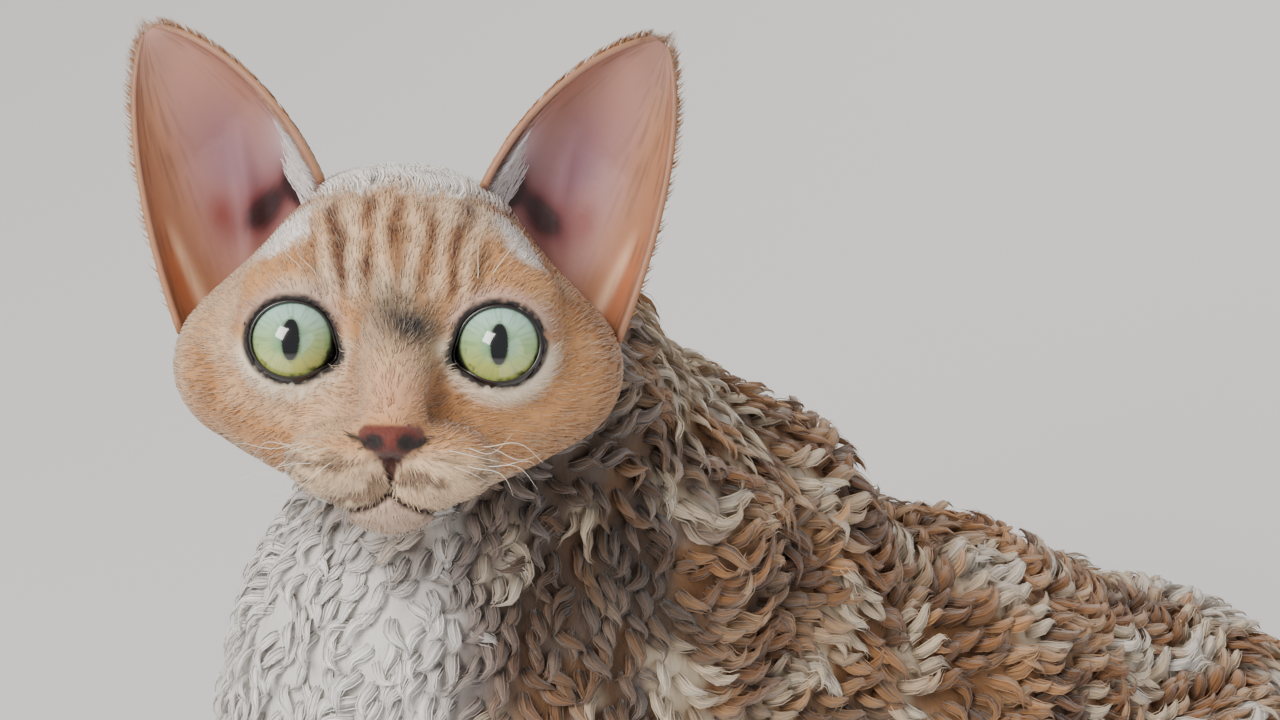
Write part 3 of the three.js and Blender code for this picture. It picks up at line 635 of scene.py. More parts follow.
for side, sign in (("left", 1), ("right", -1)):
    unit, quads = sphere(*(((96, 110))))
    q = unit * EYE_RADIUS * BALL_FIT
    front = np.hypot(q[:, 0], q[:, 2])
    q[:, 1] -= CORNEA_RISE * ramp(-front, -8, -2) * (q[:, 1] < 0)
    ball = shown("eyeball_" + side, from_head(q + EYE_CENTRE * (sign, 1, 1)), quads)
    painted(ball, iris_colours(q), "iris").data.materials.append(eye_stuff)
    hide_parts("eye_" + side)
    turn = np.linspace(0, 2 * math.pi, LID_STEPS, endpoint=False)[:, None]
    round_tube = np.linspace(0, 2 * math.pi, LID_SIDES, endpoint=False)[None]
    reach = 1 / across_eye(LID_WIDE * np.cos(turn), LID_HIGH * np.sin(turn))
    out = LID_THICK * np.cos(round_tube)
    x = (LID_WIDE * reach + 0.1 + out) * np.cos(turn)
    z = (LID_HIGH * reach + 0.1 + out) * np.sin(turn)
    y = -np.sqrt(np.maximum((EYE_RADIUS + 0.3) ** 2 - x * x - z * z, 9)) - LID_THICK * np.sin(round_tube)
    rim_points = np.stack([x * sign, y, z], -1).reshape(-1, 3) + EYE_CENTRE * (sign, 1, 1)
    faces = between_rings(LID_STEPS, LID_SIDES, looped=True)
    if sign > 0:
        faces = faces[:, ::-1]
    rim = shown("lid_" + side, from_head(rim_points), faces)
    rim.data.materials.append(lid_stuff)


# Ears
# Thin cups of skin over gristle, bare and pink inside with dark folds, and painted shade at the mouth of the
# canal.
# Their backs are furred, and each stands by its root on the side of the head.
EAR_THICK, EAR_DEPTH, EAR_END = 1.5, 19.0, 0.972
EAR_INNER = np.array([(18.5, -9, 34), (27, -10, 53), (44, -7, 66), (56, -3, 67)], float)
EAR_OUTER = np.array([(47, -4, 2), (56, -5, 26), (61, -5, 52), (56, -3, 67)], float)
EAR_BACK = np.array([-0.35, 0.92, -0.18])
EAR_ROWS, EAR_COLUMNS = ((64, 66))


def bezier(points, s):
    s = np.asarray(s)[..., None]
    a, b, c, d = points
    return a * (1 - s) ** 3 + 3 * b * s * (1 - s) ** 2 + 3 * c * s**2 * (1 - s) + d * s**3


def ear_point(s, k, outward):
    """A point of the ear: s runs from root to tip, k from the inner to the outer edge."""
    inner, outer = bezier(EAR_INNER, s), bezier(EAR_OUTER, s)
    chord = np.linalg.norm(outer - inner, axis=-1)
    share = 0.5 - 0.5 * np.cos(math.pi * k) * (1 + 2 * outward / np.maximum(chord, 4))
    deep = EAR_DEPTH * (1 - s**1.6) * np.minimum(chord / 30, 1) + outward * 1.6
    pleat = 2.6 * np.exp(-(((k - 0.79 - 0.2 * s) / 0.045) ** 2)) * ramp(-s, -0.42, -0.22)
    along = ramp(s, 0.05, 0.15) * ramp(-s, -0.55, -0.3)
    pleat = pleat + 1.6 * np.exp(-(((k - 0.62 + 0.5 * s) / 0.05) ** 2)) * along
    pleat = pleat + 1.2 * np.exp(-(((k - 0.2) / 0.05) ** 2)) * ramp(-s, -0.3, -0.1)
    deep = (deep - pleat * (outward == 0)) * np.sin(math.pi * k)
    return inner + (outer - inner) * share[..., None] + EAR_BACK * deep[..., None]


ear_stuff, tree, shader = marked("ear_skin", 0.55, Subsurface_Weight=0.25, Subsurface_Scale=0.004)
shader.inputs["Subsurface Radius"].default_value = (1.0, 0.35, 0.2)
bump(tree, shader, 420, 0.3)
for side, sign in (("left", 1), ("right", -1)):
    s = EAR_END * (np.linspace(0, 1, EAR_ROWS) ** 0.85)[:, None]
    k = np.linspace(0, 1, EAR_COLUMNS)[None]
    s, k = np.broadcast_arrays(s, k)
    outside, inside = ear_point(s, k, EAR_THICK), ear_point(s, k, 0.0)
    ring = np.concatenate([outside, inside[:, ::-1]], 1) * (sign, 1, 1)
    n = ring.shape[1]
    faces = between_rings(EAR_ROWS, n)
    a = np.arange(EAR_COLUMNS - 1)
    caps = []
    for row, turn in ((0, 1), (EAR_ROWS - 1, -1)):
        cap = np.stack([a, n - 1 - a, n - 2 - a, a + 1], -1) + row * n
        caps.append(cap[:, ::turn])
    faces = np.concatenate([faces, *caps])
    if sign > 0:
        faces = faces[:, ::-1]
    soft = noise(inside, 7, 30) - 0.5
    c = np.broadcast_to(colour("#ab7b6c"), s.shape + (3,)).copy()
    c = tint(c, "#a87654", 0.85 * ramp(k + 0.2 * soft, 0.62, 0.8))
    bowl = np.exp(-(((k - 0.48 - 0.1 * soft) / 0.2) ** 2) - ((s - 0.36) / 0.22) ** 2)
    c = tint(c, "#8b6470", 0.95 * bowl)
    c = tint(c, "#946c5e", 0.75 * ramp(s + 0.2 * soft, 0.62, 0.9))
    c = tint(c, "#cfc0cc", 0.8 * np.exp(-(((k - 0.2) / 0.12) ** 2) - ((s - 0.2) / 0.14) ** 2))
    c = tint(c, "#7a3229", 0.8 * np.exp(-(((k - 0.62) / 0.06) ** 2) - ((s - 0.27) / 0.07) ** 2))
    c = tint(c, "#b06a45", 0.85 * np.exp(-(((k - 0.9) / 0.07) ** 2) - ((s - 0.17) / 0.13) ** 2))
    c = tint(c, "#deb696", 0.8 * np.exp(-(((k - 0.79 - 0.2 * s) / 0.03) ** 2)) * ramp(-s, -0.36, -0.2))
    # Painted shade: the mouth of the canal dark red to near black, where the shell has no opening.
    canal = np.exp(-(((k - 0.46) / 0.13) ** 2) - ((s - 0.19) / 0.07) ** 2)
    canal += np.exp(-(((k - 0.3) / 0.05) ** 2) - ((s - 0.14) / 0.09) ** 2)
    c = tint(c, "#6a3034", np.clip(1.4 * canal, 0, 1))
    c = tint(c, "#2c1015", ramp(canal + 0.25 * soft, 0.45, 0.85))
    c = tint(c, "#8f6a56", 0.6 * ramp(np.abs(k - 0.5), 0.44, 0.49))
    hairy = noise(np.stack([k * 70, s * 9, s * 0], -1), 1.0, 31)
    c = tint(c, "#6f4d3a", 0.55 * ramp(hairy, 0.5, 0.8) * ramp(np.abs(k - 0.45) + 0.25 * s, 0.2, 0.5))
    back = np.broadcast_to(colour("#a87a58"), c.shape)
    colours = np.concatenate([back, c[:, ::-1]], 1).reshape(-1, 3)
    ear = shown("ear_skin_" + side, from_head(ring.reshape(-1, 3)), faces)
    painted(ear, colours).data.materials.append(ear_stuff)
    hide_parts("ear_" + side)


# Coat
# Hair: soft curls on the trunk, neck and thighs, each a waved lock with fine hairs lying along
# it, and short flat fur on the face, legs, paws, tail and ears. All of it roots in the skin.
REGIONS = {  # lengths of the body, each with a line along its middle
    "neck": ((0, 10, 205), (0, 10, 262)),
    "chest": ((0, -6, 196), (0, -4, 118)),
    "shoulders": ((0, 52, 172), (0, 88, 140)),
    "ribs": ((0, 92, 138), (0, 140, 108)),
    "loin": ((0, 145, 102), (0, 198, 74)),
    "rump": ((0, 206, 66), (0, 256, 34)),
    "thigh_left": ((48, 205, 60), (48, 120, 55)),
    "thigh_right": ((-48, 205, 60), (-48, 120, 55)),
    "foreleg_left": ((34, 20, 106), (27, -32, 8)),
    "foreleg_right": ((-34, 20, 106), (-27, -32, 8)),
    "foot_left": ((44, 222, 12), (51, 92, 8)),
    "foot_right": ((-44, 222, 12), (-51, 92, 8)),
    "head": ((21, -27, 281), (38, -37, 292)),
}
REGION_HALF = (40, 50, 50, 50, 50, 44, 32, 32, 14, 14, 11, 11, 34)  # how thick each one is
CURLY = ("neck", "chest", "shoulders", "ribs", "loin", "rump", "thigh_left", "thigh_right")
head_number = list(REGIONS).index("head")
UNWRAP_ACROSS = 4  # the regions' islands lie in a square of this many a side
PATCH = 0.003


def place_along(p, a, b):
    a, b = np.array(a, float), np.array(b, float)
    return np.clip((p - a) @ (b - a) / ((b - a) @ (b - a)), -0.3, 1.3)


def region_of(p):
    """The number of the region each point belongs to. The tail comes after the others."""
    away = [limb(p, a, b, half, half) for (a, b), half in zip(REGIONS.values(), REGION_HALF)]
    away.append(tail_form(p) + 2)
    h = to_head(p)
    on_head = (head_form(h) < 3) & (h[:, 1] - h[:, 2] < 34)
    away[head_number] = np.where(on_head, -1e3, 1e3)
    return np.argmin(np.stack(away), 0)


def unwrapped(p, number):
    """Where a root lies on the unwrap: round its region's middle line, and along it."""
    if number == len(REGIONS):
        i = np.argmin(np.linalg.norm(p[:, None] - TAIL_POINTS[None], axis=-1), 1)
        ahead = np.gradient(TAIL_POINTS, axis=0)[i]
        out, t = p - TAIL_POINTS[i], i / len(TAIL_POINTS)
    else:
        a, b = (np.array(q, float) for q in list(REGIONS.values())[number])
        t = (place_along(p, a, b) + 0.3) / 1.6
        ahead = np.broadcast_to(b - a, p.shape)
        out = p - a - ((p - a) @ (b - a) / ((b - a) @ (b - a)))[:, None] * (b - a)
    side = np.cross(ahead, (0.31, 0.2, 0.93))
    side /= np.linalg.norm(side, axis=-1, keepdims=True)
    up = np.cross(side, ahead)
    up /= np.linalg.norm(up, axis=-1, keepdims=True)
    angle = np.arctan2((out * up).sum(-1), (out * side).sum(-1)) / (2 * math.pi) + 0.5
    island = np.array([number % UNWRAP_ACROSS, number // UNWRAP_ACROSS])
    return (island + 0.02 + 0.95 * np.stack([angle, np.clip(t, 0, 1)], -1)) / UNWRAP_ACROSS


def scattered(points, quads, count, density):
    """Random roots on a surface, as many in equal areas where the density is equal."""
    a, b, c, d = (points[quads[:, k]] for k in range(4))
    area = np.linalg.norm(np.cross(c - a, d - b), axis=-1) / 2
    weight = area * density((a + b + c + d) / 4)
    pick = RNG.choice(len(quads), count, p=weight / weight.sum())
    u, v = RNG.random((2, count, 1))
    return (a[pick] * (1 - u) + b[pick] * u) * (1 - v) + (d[pick] * (1 - u) + c[pick] * u) * v


def unit(v):
    return v / np.maximum(np.linalg.norm(v, axis=-1, keepdims=True), 1e-9)


def along_surface(flow, normal):
    return unit(flow - (flow * normal).sum(-1, keepdims=True) * normal)


def half_width(s):
    """A lock or hair's half width along it, as a share of the widest."""
    return (1 - s**2.4) * (0.62 + 0.42 * np.sin(math.pi * np.minimum(s * 1.25, 1)))


def strands(name, line, width, normal, colours, uv, flat=0.6, root_shade=0.45, stuff=None):
    """Tapered three-sided closed strands along lines of points. The last point is the tip."""
    count, steps, _ = line.shape
    ahead = unit(np.gradient(line, axis=1))
    side = unit(np.cross(ahead, normal[:, None]))[:, :-1]
    up = unit(np.cross(side, ahead[:, :-1]))
    s = np.linspace(0, 1, steps)[None, : steps - 1, None]
    thick = width[:, None, None] * half_width(s)
    corners = (0.5, 2.64, 4.71)
    ring = [line[:, :-1] + thick * (side * math.cos(t) + up * flat * math.sin(t)) for t in corners]
    body = np.stack(ring, 2).reshape(count, -1, 3)
    points = np.concatenate([body, line[:, -1:]], 1)
    each = points.shape[1]
    faces = [(0, 2, 1)]
    for i in range(steps - 2):
        for k in range(3):
            a, b = 3 * i + k, 3 * i + (k + 1) % 3
            faces += [(a, b, b + 3), (a, b + 3, a + 3)]
    last = 3 * (steps - 2)
    faces += [(last + k, last + (k + 1) % 3, each - 1) for k in range(3)]
    faces = np.array(faces)
    index = (np.arange(count) * each)[:, None, None] + faces[None]
    made = shown(name, points.reshape(-1, 3), index.reshape(-1, 3))
    shade = np.concatenate([np.repeat(np.linspace(0, 1, steps)[: steps - 1], 3), [1.0]])
    shadow = (1 - np.minimum(shade * 1.5, 1))[None, :, None] * (1.05 - root_shade)
    pale = colours.mean(-1)[:, None, None]
    painted(made, (colours[:, None] * (1.05 - shadow * (1 - 0.65 * pale))).reshape(-1, 3))
    across = np.concatenate([np.tile([0, 0.5, 1], steps - 1), [0.5]]) - 0.5
    local = np.stack([across, shade - 0.5], -1) * PATCH
    places = (uv[:, None] + local[None]).reshape(-1, 2)
    layer = made.data.uv_layers.new(name="OFBake")
    layer.data.foreach_set("uv", places[index.reshape(-1)].astype(np.float32).ravel())
    if stuff:
        along_lock = np.stack([across, shade], -1)[None] + 0.37 * np.arange(count)[:, None, None]
        layer = made.data.uv_layers.new(name="along_lock")
        at_corners = along_lock.reshape(-1, 2)[index.reshape(-1)]
        layer.data.foreach_set("uv", at_corners.astype(np.float32).ravel())
    made.data.materials.append(stuff or fur_stuff)
    return made


def lines(root, normal, lie, length, lift, steps, sway=0.0, phase=0.0, waves=1.0, above_floor=0.5):
    """Middle lines of strands that rise, lie over along the coat and sway from side to side."""
    s = np.linspace(0, 1, steps)[None, :, None]
    side = np.cross(normal, lie)[:, None]
    given = (length, lift, sway, phase)
    length, lift, sway, phase = (np.broadcast_to(v, len(root))[:, None, None] for v in given)
    turn = phase + 2 * math.pi * waves * s
    out = root[:, None] + lie[:, None] * length * (s**1.15) + normal[:, None] * lift * np.sin(2.1 * s)
    out = out + side * sway * (np.sin(turn) - np.sin(phase)) * s**0.5
    out = out + normal[:, None] * sway * 0.45 * (np.cos(turn) - np.cos(phase)) * s
    out[..., 2] = np.maximum(out[..., 2], above_floor)
    return out


fur_stuff, _, _ = marked("fur", 0.62, Sheen_Weight=0.3, Sheen_Roughness=0.5)
share = 1.0

# A lock's own hairs show as fine streaks from its root to its tip
lock_stuff, tree, shader = material("lock", 0.6, Sheen_Weight=0.3, Sheen_Roughness=0.5)
marks = node(tree, "ShaderNodeVertexColor", layer_name="markings")
place = node(tree, "ShaderNodeUVMap", uv_map="along_lock")
mapped = node(tree, "ShaderNodeMapping")
mapped.inputs["Scale"].default_value = (11.0, 0.9, 1.0)
streaks = node(tree, "ShaderNodeTexNoise")
streaks.inputs["Scale"].default_value = 1.0
streaks.inputs["Detail"].default_value = 5.0
streaks.inputs["Distortion"].default_value = 0.4
shades = node(tree, "ShaderNodeMapRange")
for key, value in {"From Min": 0.3, "From Max": 0.7, "To Min": 0.66, "To Max": 1.18}.items():
    shades.inputs[key].default_value = value
mixed = node(tree, "ShaderNodeVectorMath", operation="SCALE")
relief = node(tree, "ShaderNodeBump")
relief.inputs["Strength"].default_value = 0.8
relief.inputs["Distance"].default_value = 0.0006
tree.links.new(place.outputs["UV"], mapped.inputs["Vector"])
tree.links.new(mapped.outputs["Vector"], streaks.inputs["Vector"])
tree.links.new(streaks.outputs["Fac"], shades.inputs["Value"])
tree.links.new(marks.outputs["Color"], mixed.inputs["Vector"])
tree.links.new(shades.outputs["Result"], mixed.inputs["Scale"])
tree.links.new(mixed.outputs["Vector"], shader.inputs["Base Color"])
tree.links.new(streaks.outputs["Fac"], relief.inputs["Height"])
tree.links.new(relief.outputs["Normal"], shader.inputs["Normal"])



CLEAR_OF_FLOOR = 2.5


def clear_of_floor(p):
    return (p[:, 2] > CLEAR_OF_FLOOR) * 1.0


def curly_places(p):
    where = region_of(p)
    return np.isin(where, [list(REGIONS).index(n) for n in CURLY]) * clear_of_floor(p)


def body_flow(p):
    """Back from the neck and down the sides, straight down on the chest."""
    front = ramp(-p[:, 1:2], -20, 10)
    back = np.stack([0.25 * np.sign(p[:, 0]), np.ones(len(p)), np.full(len(p), -0.75)], -1)
    return back * (1 - front) + np.array([0, 0.1, -1.0]) * front


def spread(points, apart):
    """The numbers of those points that keep a distance from all the ones picked before."""
    taken, picked = {}, []
    for i, (p, cell) in enumerate(zip(points, np.floor(points / apart).astype(int))):
        around = [tuple(cell + (a, b, c)) for a in (-1, 0, 1) for b in (-1, 0, 1) for c in (-1, 0, 1)]
        near = [q for key in around for q in taken.get(key, ())]
        if not near or min(((p - q) ** 2).sum() for q in near) > apart * apart:
            taken.setdefault(tuple(cell), []).append(p)
            picked.append(i)
    return np.array(picked)


LOCKS_APART = 3.7
LOCK_TRIES = 90000
LOCK_LENGTH, LOCK_HALF_WIDTH, LOCK_WAVE = 10.0, 1.9, 1.6
LOCK_STEPS, HAIR_STEPS = 7, 6
HAIRS_ON_LOCK = 3
HAIR_HALF_WIDTH = 0.2
roots = scattered(skin_points, skin_quads, LOCK_TRIES, curly_places)
roots = roots[spread(roots, LOCKS_APART)]
count = len(roots)
normal = slope(coat_form, roots, 2.0)
lie = along_surface(body_flow(roots), normal)
twist = (noise(roots, 30, 40) - 0.5) * 2.6 + (noise(roots, 9, 44) - 0.5) * 1.6
twist = twist + RNG.normal(0, 0.45, count)
lie = unit(lie * np.cos(twist)[:, None] + np.cross(normal, lie) * np.sin(twist)[:, None])
sleek = ramp(-roots[:, 1], -60, -10) * ramp(roots[:, 2], 110, 150)  # flatter on neck and chest
lock_size = (0.82 + 0.36 * RNG.random(count)) * (1 - 0.15 * sleek)
phase = 2 * math.pi * noise(roots, 12, 41) + RNG.normal(0, 0.5, count)
lock_lines = lines(
    roots - normal * 0.6,
    normal,
    lie,
    LOCK_LENGTH * lock_size,
    BODY_COAT * (0.42 + 0.4 * RNG.random(count)) * (1 - 0.3 * sleek),
    LOCK_STEPS,
    above_floor=1.8,
    sway=LOCK_WAVE,
    phase=phase,
    waves=0.85,
)
lock_width = LOCK_HALF_WIDTH * lock_size
lock_colour = markings(roots)
bright = lock_colour.mean(-1, keepdims=True)
lock_colour = lock_colour * (1 + (0.42 - 0.34 * bright) * (RNG.random((count, 1)) - 0.5))
region = region_of(roots)

# Hairs lie over the upper half of each lock, from one side to the other, and run past its tip
own = np.repeat(np.arange(count), HAIRS_ON_LOCK)
turn = math.pi * (np.tile(np.arange(HAIRS_ON_LOCK), count) + 0.5) / HAIRS_ON_LOCK
turn = turn + RNG.normal(0, 0.16, len(own))
along = np.linspace(0, 1, HAIR_STEPS)
at = along * (LOCK_STEPS - 1) * 0.999
low = at.astype(int)
part = (at - low)[None, :, None]
middle = lock_lines[own][:, low] * (1 - part) + lock_lines[own][:, low + 1] * part
ahead = unit(np.gradient(middle, axis=1))
side = unit(np.cross(ahead, normal[own][:, None]))
over = unit(np.cross(side, ahead))
off = (lock_width[own][:, None] * (half_width(along) + 0.06) * 0.98)[..., None]
hair_lines = middle + off * (side * np.cos(turn)[:, None, None] + over * 0.72 * np.sin(turn)[:, None, None])
loose = RNG.normal(0, 0.5, (len(own), 1, 3)) + ahead[:, -1:] * RNG.random((len(own), 1, 1)) * 1.6
hair_lines = hair_lines + loose * along[None, :, None] ** 2
hair_lines[..., 2] = np.maximum(hair_lines[..., 2], 0.5)
# Painted light and shade: hairs over the top of a lock lighter, those at its sides darker, with some random
# tone.
hair_shade = 0.85 + 0.25 * np.sin(turn)[:, None] + RNG.normal(0, 0.08, (len(own), 1))
hair_colour = lock_colour[own] * hair_shade
for number, name in enumerate(REGIONS):
    mine = np.flatnonzero(region == number)
    if name not in CURLY or not len(mine):
        continue
    places = unwrapped(roots[mine], number)
    strands("locks_" + name, lock_lines[mine], lock_width[mine], normal[mine], lock_colour[mine],
            places, flat=0.62, root_shade=0.5, stuff=lock_stuff)
    hairs = np.flatnonzero(region[own] == number)
    strands("curls_" + name, hair_lines[hairs], np.full(len(hairs), HAIR_HALF_WIDTH),
            normal[own][hairs], hair_colour[hairs], np.repeat(places, HAIRS_ON_LOCK, axis=0),
            root_shade=0.55)


def short_places(p):
    where = region_of(p)
    legs = [i for i, n in enumerate(REGIONS) if n.startswith("fore") or n.startswith("foot")]
    return np.isin(where, [*legs, len(REGIONS)]) * clear_of_floor(p)


def short_flow(p, where):
    """Down the legs, forwards over the paws and along the tail."""
    flow = np.tile([0.0, 0.15, -1.0], (len(p), 1))
    paw = (p[:, 2] < 22) | np.isin(where, [10, 11])
    flow[paw] = (0, -1, -0.2)
    tail = where == len(REGIONS)
    i = np.argmin(np.linalg.norm(p[tail][:, None] - TAIL_POINTS[None], axis=-1), 1)
    flow[tail] = np.gradient(TAIL_POINTS, axis=0)[i]
    return flow


SHORT = int(12000 * share)
roots = scattered(skin_points, skin_quads, SHORT, short_places)
normal = slope(coat_form, roots, 1.0)
region = region_of(roots)
flow = along_surface(short_flow(roots, region), normal)
on_tail = region == len(REGIONS)
short_coat = np.where(on_tail, TAIL_COAT, np.where(roots[:, 2] < 22, PAW_COAT, LEG_COAT))
short_length = short_coat * 2.0 + 1.5 * RNG.random(SHORT)
fur = lines(roots - normal * 0.3, normal, flow, short_length, short_coat * 0.7, 4,
            sway=0.4, phase=2 * math.pi * noise(roots, 9, 42), waves=0.7)
short_colour = markings(roots) * (0.85 + 0.3 * RNG.random((SHORT, 1)))
for number in sorted(set(region)):
    part = [*REGIONS, "tail"][number]
    mine = region == number
    strands("fur_" + part, fur[mine], 0.28 + 0.14 * on_tail[mine], normal[mine], short_colour[mine],
            unwrapped(roots[mine], number), root_shade=0.7)


def face_places(p):
    """Over the head, but clear of the nose leather, the mouth and the rims of the eyes."""
    h = to_head(p)
    m = mirrored(h)
    open_eye = (across_eye(m[:, 0] - EYE_CENTRE[0], h[:, 2], 1.7) < 1) & (h[:, 1] < -22)
    mouth = np.abs(h[:, 2] - mouth_height(h[:, 0])) < 0.6
    mouth = mouth & (h[:, 1] < -32) & (np.abs(h[:, 0]) < MOUTH_HALF)
    return (region_of(p) == head_number) * (1 - in_leather(h)) * ~open_eye * ~mouth


FACE = int(19000 * share)
roots = scattered(skin_points, skin_quads, FACE, face_places)
normal = slope(coat_form, roots, 0.8)
h = to_head(roots)
away = np.stack([1.1 * h[:, 0], h[:, 1] + 58, h[:, 2] + 18], -1)
flow = along_surface(unit(away) @ HEAD_TURN.T, normal)
forward = ramp(-h[:, 1], 0, 40)
crown = on_crown(h)
face_length = 4.4 - 2.2 * forward + 0.9 * RNG.random(FACE) + 2.4 * crown
fur = lines(roots - normal * 0.25, normal, flow, face_length, FACE_COAT * (0.75 + 1.7 * crown), 4,
            sway=0.25 + 0.8 * crown, phase=2 * math.pi * noise(roots, 5, 43))
cream = 0.3 * RNG.random(FACE) ** 2
face_colour = tint(markings(roots), CREAM, cream) * (0.84 + 0.3 * RNG.random((FACE, 1)))
for name, mine in (("fur_face", forward > 0.5), ("fur_head", forward <= 0.5)):
    strands(name, fur[mine], 0.2 - 0.07 * forward[mine] + 0.1 * crown[mine], normal[mine], face_colour[mine],
            unwrapped(roots[mine], head_number), root_shade=0.86)


def on_ear(name, island, s, k, sign, inside, length, lift, width, codes, towards=(0, 0, 0), root_shade=0.8):
    """Hairs rooted on an ear at shares s of its height and k of its width."""
    step = 0.004
    face = 0.0 if inside else EAR_THICK
    at = ear_point(s, k, face) * (sign, 1, 1)
    above, below = np.minimum(s + step, EAR_END), s - step
    up = ear_point(above, k, face) * (sign, 1, 1) - ear_point(below, k, face) * (sign, 1, 1)
    out = unit((ear_point(s, k, EAR_THICK) - ear_point(s, k, 0.0)) * (sign, 1, 1)) * (-1 if inside else 1)
    flow = along_surface(unit(up) + np.array(towards) * (sign, 1, 1), out)
    count = len(s)
    hairs = lines((from_head(at) - (out @ HEAD_TURN.T) * 0.2), out @ HEAD_TURN.T, flow @ HEAD_TURN.T,
                  length * (0.7 + 0.6 * RNG.random(count)), lift, 4, sway=0.25, phase=6 * RNG.random(count))
    tone = tint(np.broadcast_to(colour(codes[0]), (count, 3)), codes[1], RNG.random(count))
    place = (np.array(island) + 0.02 + 0.45 * np.stack([k + inside, np.clip(s, 0, 1)], -1)) / UNWRAP_ACROSS
    strands(name, hairs, np.full(count, width), out @ HEAD_TURN.T, tone, place,
            root_shade=root_shade)


for number, (side, sign) in enumerate((("left", 1), ("right", -1))):
    island = (2 + number, 3)
    draw = RNG.random((2, int(2600 * share)))
    on_ear("fur_ear_" + side, island, 0.02 + 0.94 * draw[0] ** 0.85, draw[1], sign, False, 2.8, 0.45, 0.2,
           ("#b98a5e", DARK_GINGER))
    draw = RNG.random((2, int(1500 * share)))
    edge = 0.16 * draw[1] ** 1.4
    inner = RNG.random(draw.shape[1]) < 0.55
    across = np.where(inner, 0.02 + 1.5 * edge, 0.98 - edge)
    on_ear("fuzz_ear_" + side, island, 0.06 + 0.89 * draw[0], across, sign, True, 3.2, 0.5, 0.11,
           ("#caa488", "#8e6248"), (0.25, 0, 0))
    draw = RNG.random((2, int(420 * share)))
    on_ear("tuft_ear_" + side, island, 0.03 + 0.16 * draw[0], 0.05 + 0.26 * draw[1] ** 1.3, sign,
           True, 6.5, 1.6, 0.17, (WHITE, "#d6cfd6"), (0.5, -0.3, 0.3), root_shade=0.9)
    draw = RNG.random((2, int(60 * share) + 6))
    on_ear("tip_ear_" + side, island, 0.93 + 0.02 * draw[0], 0.2 + 0.6 * draw[1], sign, False,
           6.0, 0.6, 0.12, ("#c9a47c", "#9a6f4a"), (0.4, 0, 0))


# Whiskers
# Stiff single hairs, short, crooked and pale, as the breed has them. They root in the skin,
# a few on each pad and over each eye.
whisker_stuff, _, _ = material("whisker", 0.4, base=colour("#efe6d6"), Transmission_Weight=0.15)
WHISKERS, BROW_HAIRS = 8, 2
WHISKER_STEPS, WHISKER_SIDES, WHISKER_HALF_WIDTH = 10, 5, 0.11
for side, sign in (("left", 1), ("right", -1)):
    start, way = [], []
    for i in range(WHISKERS):
        row, place = divmod(i, 4)
        x, z = 12 + 2.6 * place, -22.5 - 2.6 * row
        start.append((x, -50.5 + 0.07 * (x - 8) ** 2, z))
        way.append((1.0, -0.5 + 0.12 * place, -0.15 - 0.25 * row))
    for i in range(BROW_HAIRS):
        start.append((17 + 3 * i, -35 + i, 14 + i))
        way.append((0.3 + 0.2 * i, -0.5, 1.0))
    start = np.array(start) * (sign, 1, 1)
    way = unit(np.array(way) * (sign, 1, 1) + RNG.normal(0, 0.12, (len(start), 3)))
    start = from_head(start)
    start = start - slope(coat_form, start, 0.5) * coat_form(start)[:, None]
    way = way @ HEAD_TURN.T
    bend = unit(np.cross(way, RNG.normal(0, 1, way.shape)))
    s = np.linspace(0, 1, WHISKER_STEPS)[None, :, None]
    length = (7 + 10 * RNG.random(len(start)))[:, None, None]
    curl = 3.2 * np.sin(s * math.pi * (0.8 + RNG.random((len(start), 1, 1)))) * s
    line = start[:, None] + way[:, None] * length * s + bend[:, None] * curl
    turns = np.linspace(0, 2 * math.pi, WHISKER_SIDES, endpoint=False)
    ahead = unit(np.gradient(line, axis=1))
    across = unit(np.cross(ahead, bend[:, None] + 0.01))
    over = np.cross(ahead, across)
    thick = WHISKER_HALF_WIDTH * (1 - 0.8 * s)
    ring = np.stack([line + thick * (across * math.cos(t) + over * math.sin(t)) for t in turns], 2)
    count = len(start)
    one = between_rings(WHISKER_STEPS, WHISKER_SIDES)[:, [0, 3, 2, 1]]
    faces = (np.arange(count) * WHISKER_STEPS * WHISKER_SIDES)[:, None, None] + one[None]
    whiskers = shown("whiskers_" + side, ring.reshape(-1, 3), faces.reshape(-1, 4))
    whiskers.data.materials.append(whisker_stuff)


# Floor, light and camera
# A flat pale floor, a soft light from the front, weaker ones from the cat's left and from behind,
# and a camera at the photo's view.
FLOOR_SIZE = 6.0
floor_stuff, _, _ = material("floor", 0.8, base=(0.78, 0.77, 0.75))
mesh = bpy.data.meshes.new("floor")
corners = [(x * FLOOR_SIZE, y * FLOOR_SIZE, 0.0) for x, y in ((-1, -1), (1, -1), (1, 1), (-1, 1))]
mesh.from_pydata(corners, [], [(0, 1, 2, 3)])
floor = bpy.data.objects.new("floor", mesh)
floor.data.materials.append(floor_stuff)
bpy.context.scene.collection.objects.link(floor)

world = bpy.data.worlds.new("studio")
world.use_nodes = True
world.node_tree.nodes["Background"].inputs["Color"].default_value = (0.80, 0.82, 0.86, 1)
world.node_tree.nodes["Background"].inputs["Strength"].default_value = 0.45
bpy.context.scene.world = world

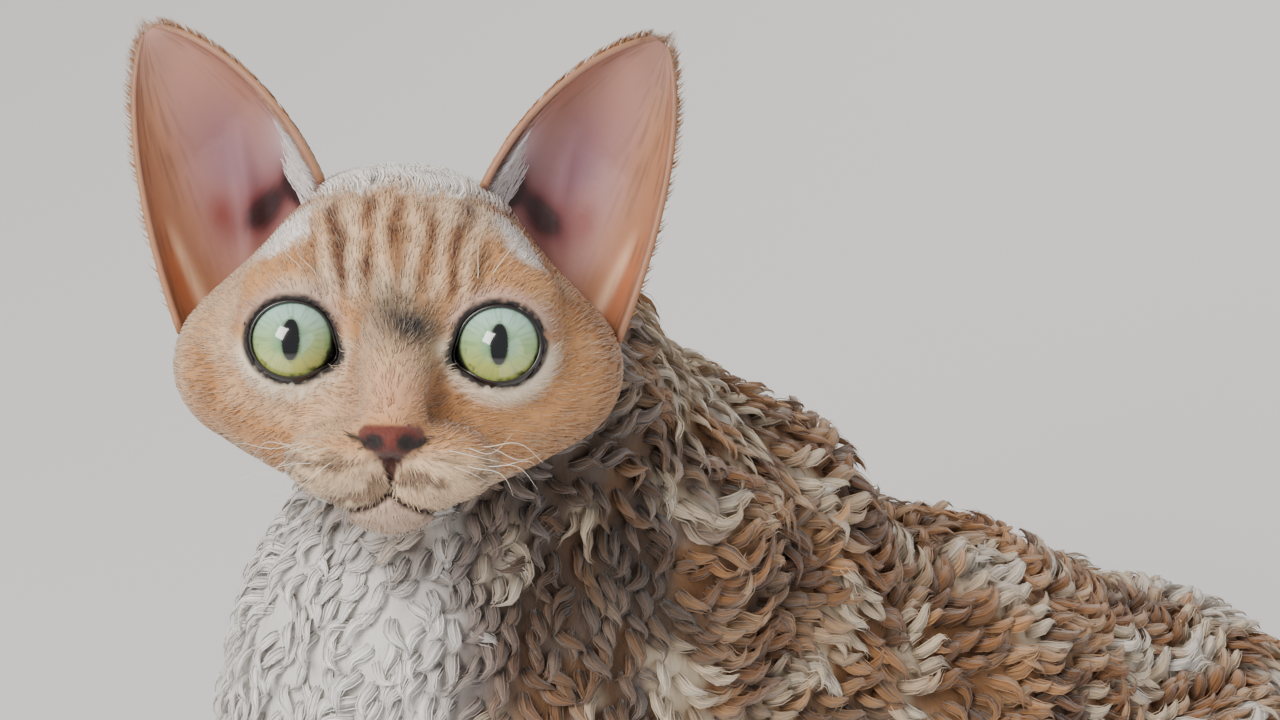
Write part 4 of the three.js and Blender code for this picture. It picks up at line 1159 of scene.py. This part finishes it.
CAMERA_TURN, CAMERA_RISE, CAMERA_LENS = 58.0, 30.0, 120.0
EYES_IN_VIEW = (395, 342)  # the photo's pixel between the eyes, of 1280 by 720
PIXELS_PER_MM = 4.8
PHOTO_WIDTH, PHOTO_HEIGHT, SENSOR = 1280, 720, 36
turn, rise = math.radians(CAMERA_TURN), math.radians(CAMERA_RISE)
towards = np.array([math.sin(turn) * math.cos(rise), -math.cos(turn) * math.cos(rise), math.sin(rise)])
right = np.array([math.cos(turn), math.sin(turn), 0.0])
up = np.cross(towards, right)
focal = CAMERA_LENS / SENSOR * PHOTO_WIDTH
far = focal / PIXELS_PER_MM
eyes_right = (EYES_IN_VIEW[0] - PHOTO_WIDTH / 2) / PIXELS_PER_MM
eyes_up = (PHOTO_HEIGHT / 2 - EYES_IN_VIEW[1]) / PIXELS_PER_MM
look_at = EYES_AT - right * eyes_right - up * eyes_up
camera = bpy.data.objects.new("camera", bpy.data.cameras.new("camera"))
camera.data.lens = CAMERA_LENS
camera.data.sensor_width = SENSOR
camera.location = Vector((look_at + towards * far - ORIGIN) * MM)
camera.rotation_euler = Vector(-towards).to_track_quat("-Z", "Y").to_euler()
camera.data.clip_start, camera.data.clip_end = 0.05, 20
bpy.context.scene.collection.objects.link(camera)
bpy.context.scene.camera = camera

LIGHTS = {
    "window": ((0.3, -1.0, 1.15), 0.7, 25.0, (1.0, 0.96, 0.91)),
    "fill": ((1.3, 0.25, 0.55), 1.1, 5.0, (0.95, 0.97, 1.0)),
    "rim": ((-0.7, 0.9, 0.9), 0.7, 9.0, (1.0, 0.96, 0.9)),
}
aim = Vector((EYES_AT - ORIGIN) * MM) * 0.8
for name, (place, size, power, tone) in LIGHTS.items():
    light = bpy.data.objects.new(name, bpy.data.lights.new(name, "AREA"))
    light.data.shape = "SQUARE"
    light.data.size = size
    light.data.energy = power
    light.data.color = tone
    light.location = place
    light.rotation_euler = (Vector(place) - aim).to_track_quat("Z", "Y").to_euler()
    bpy.context.scene.collection.objects.link(light)
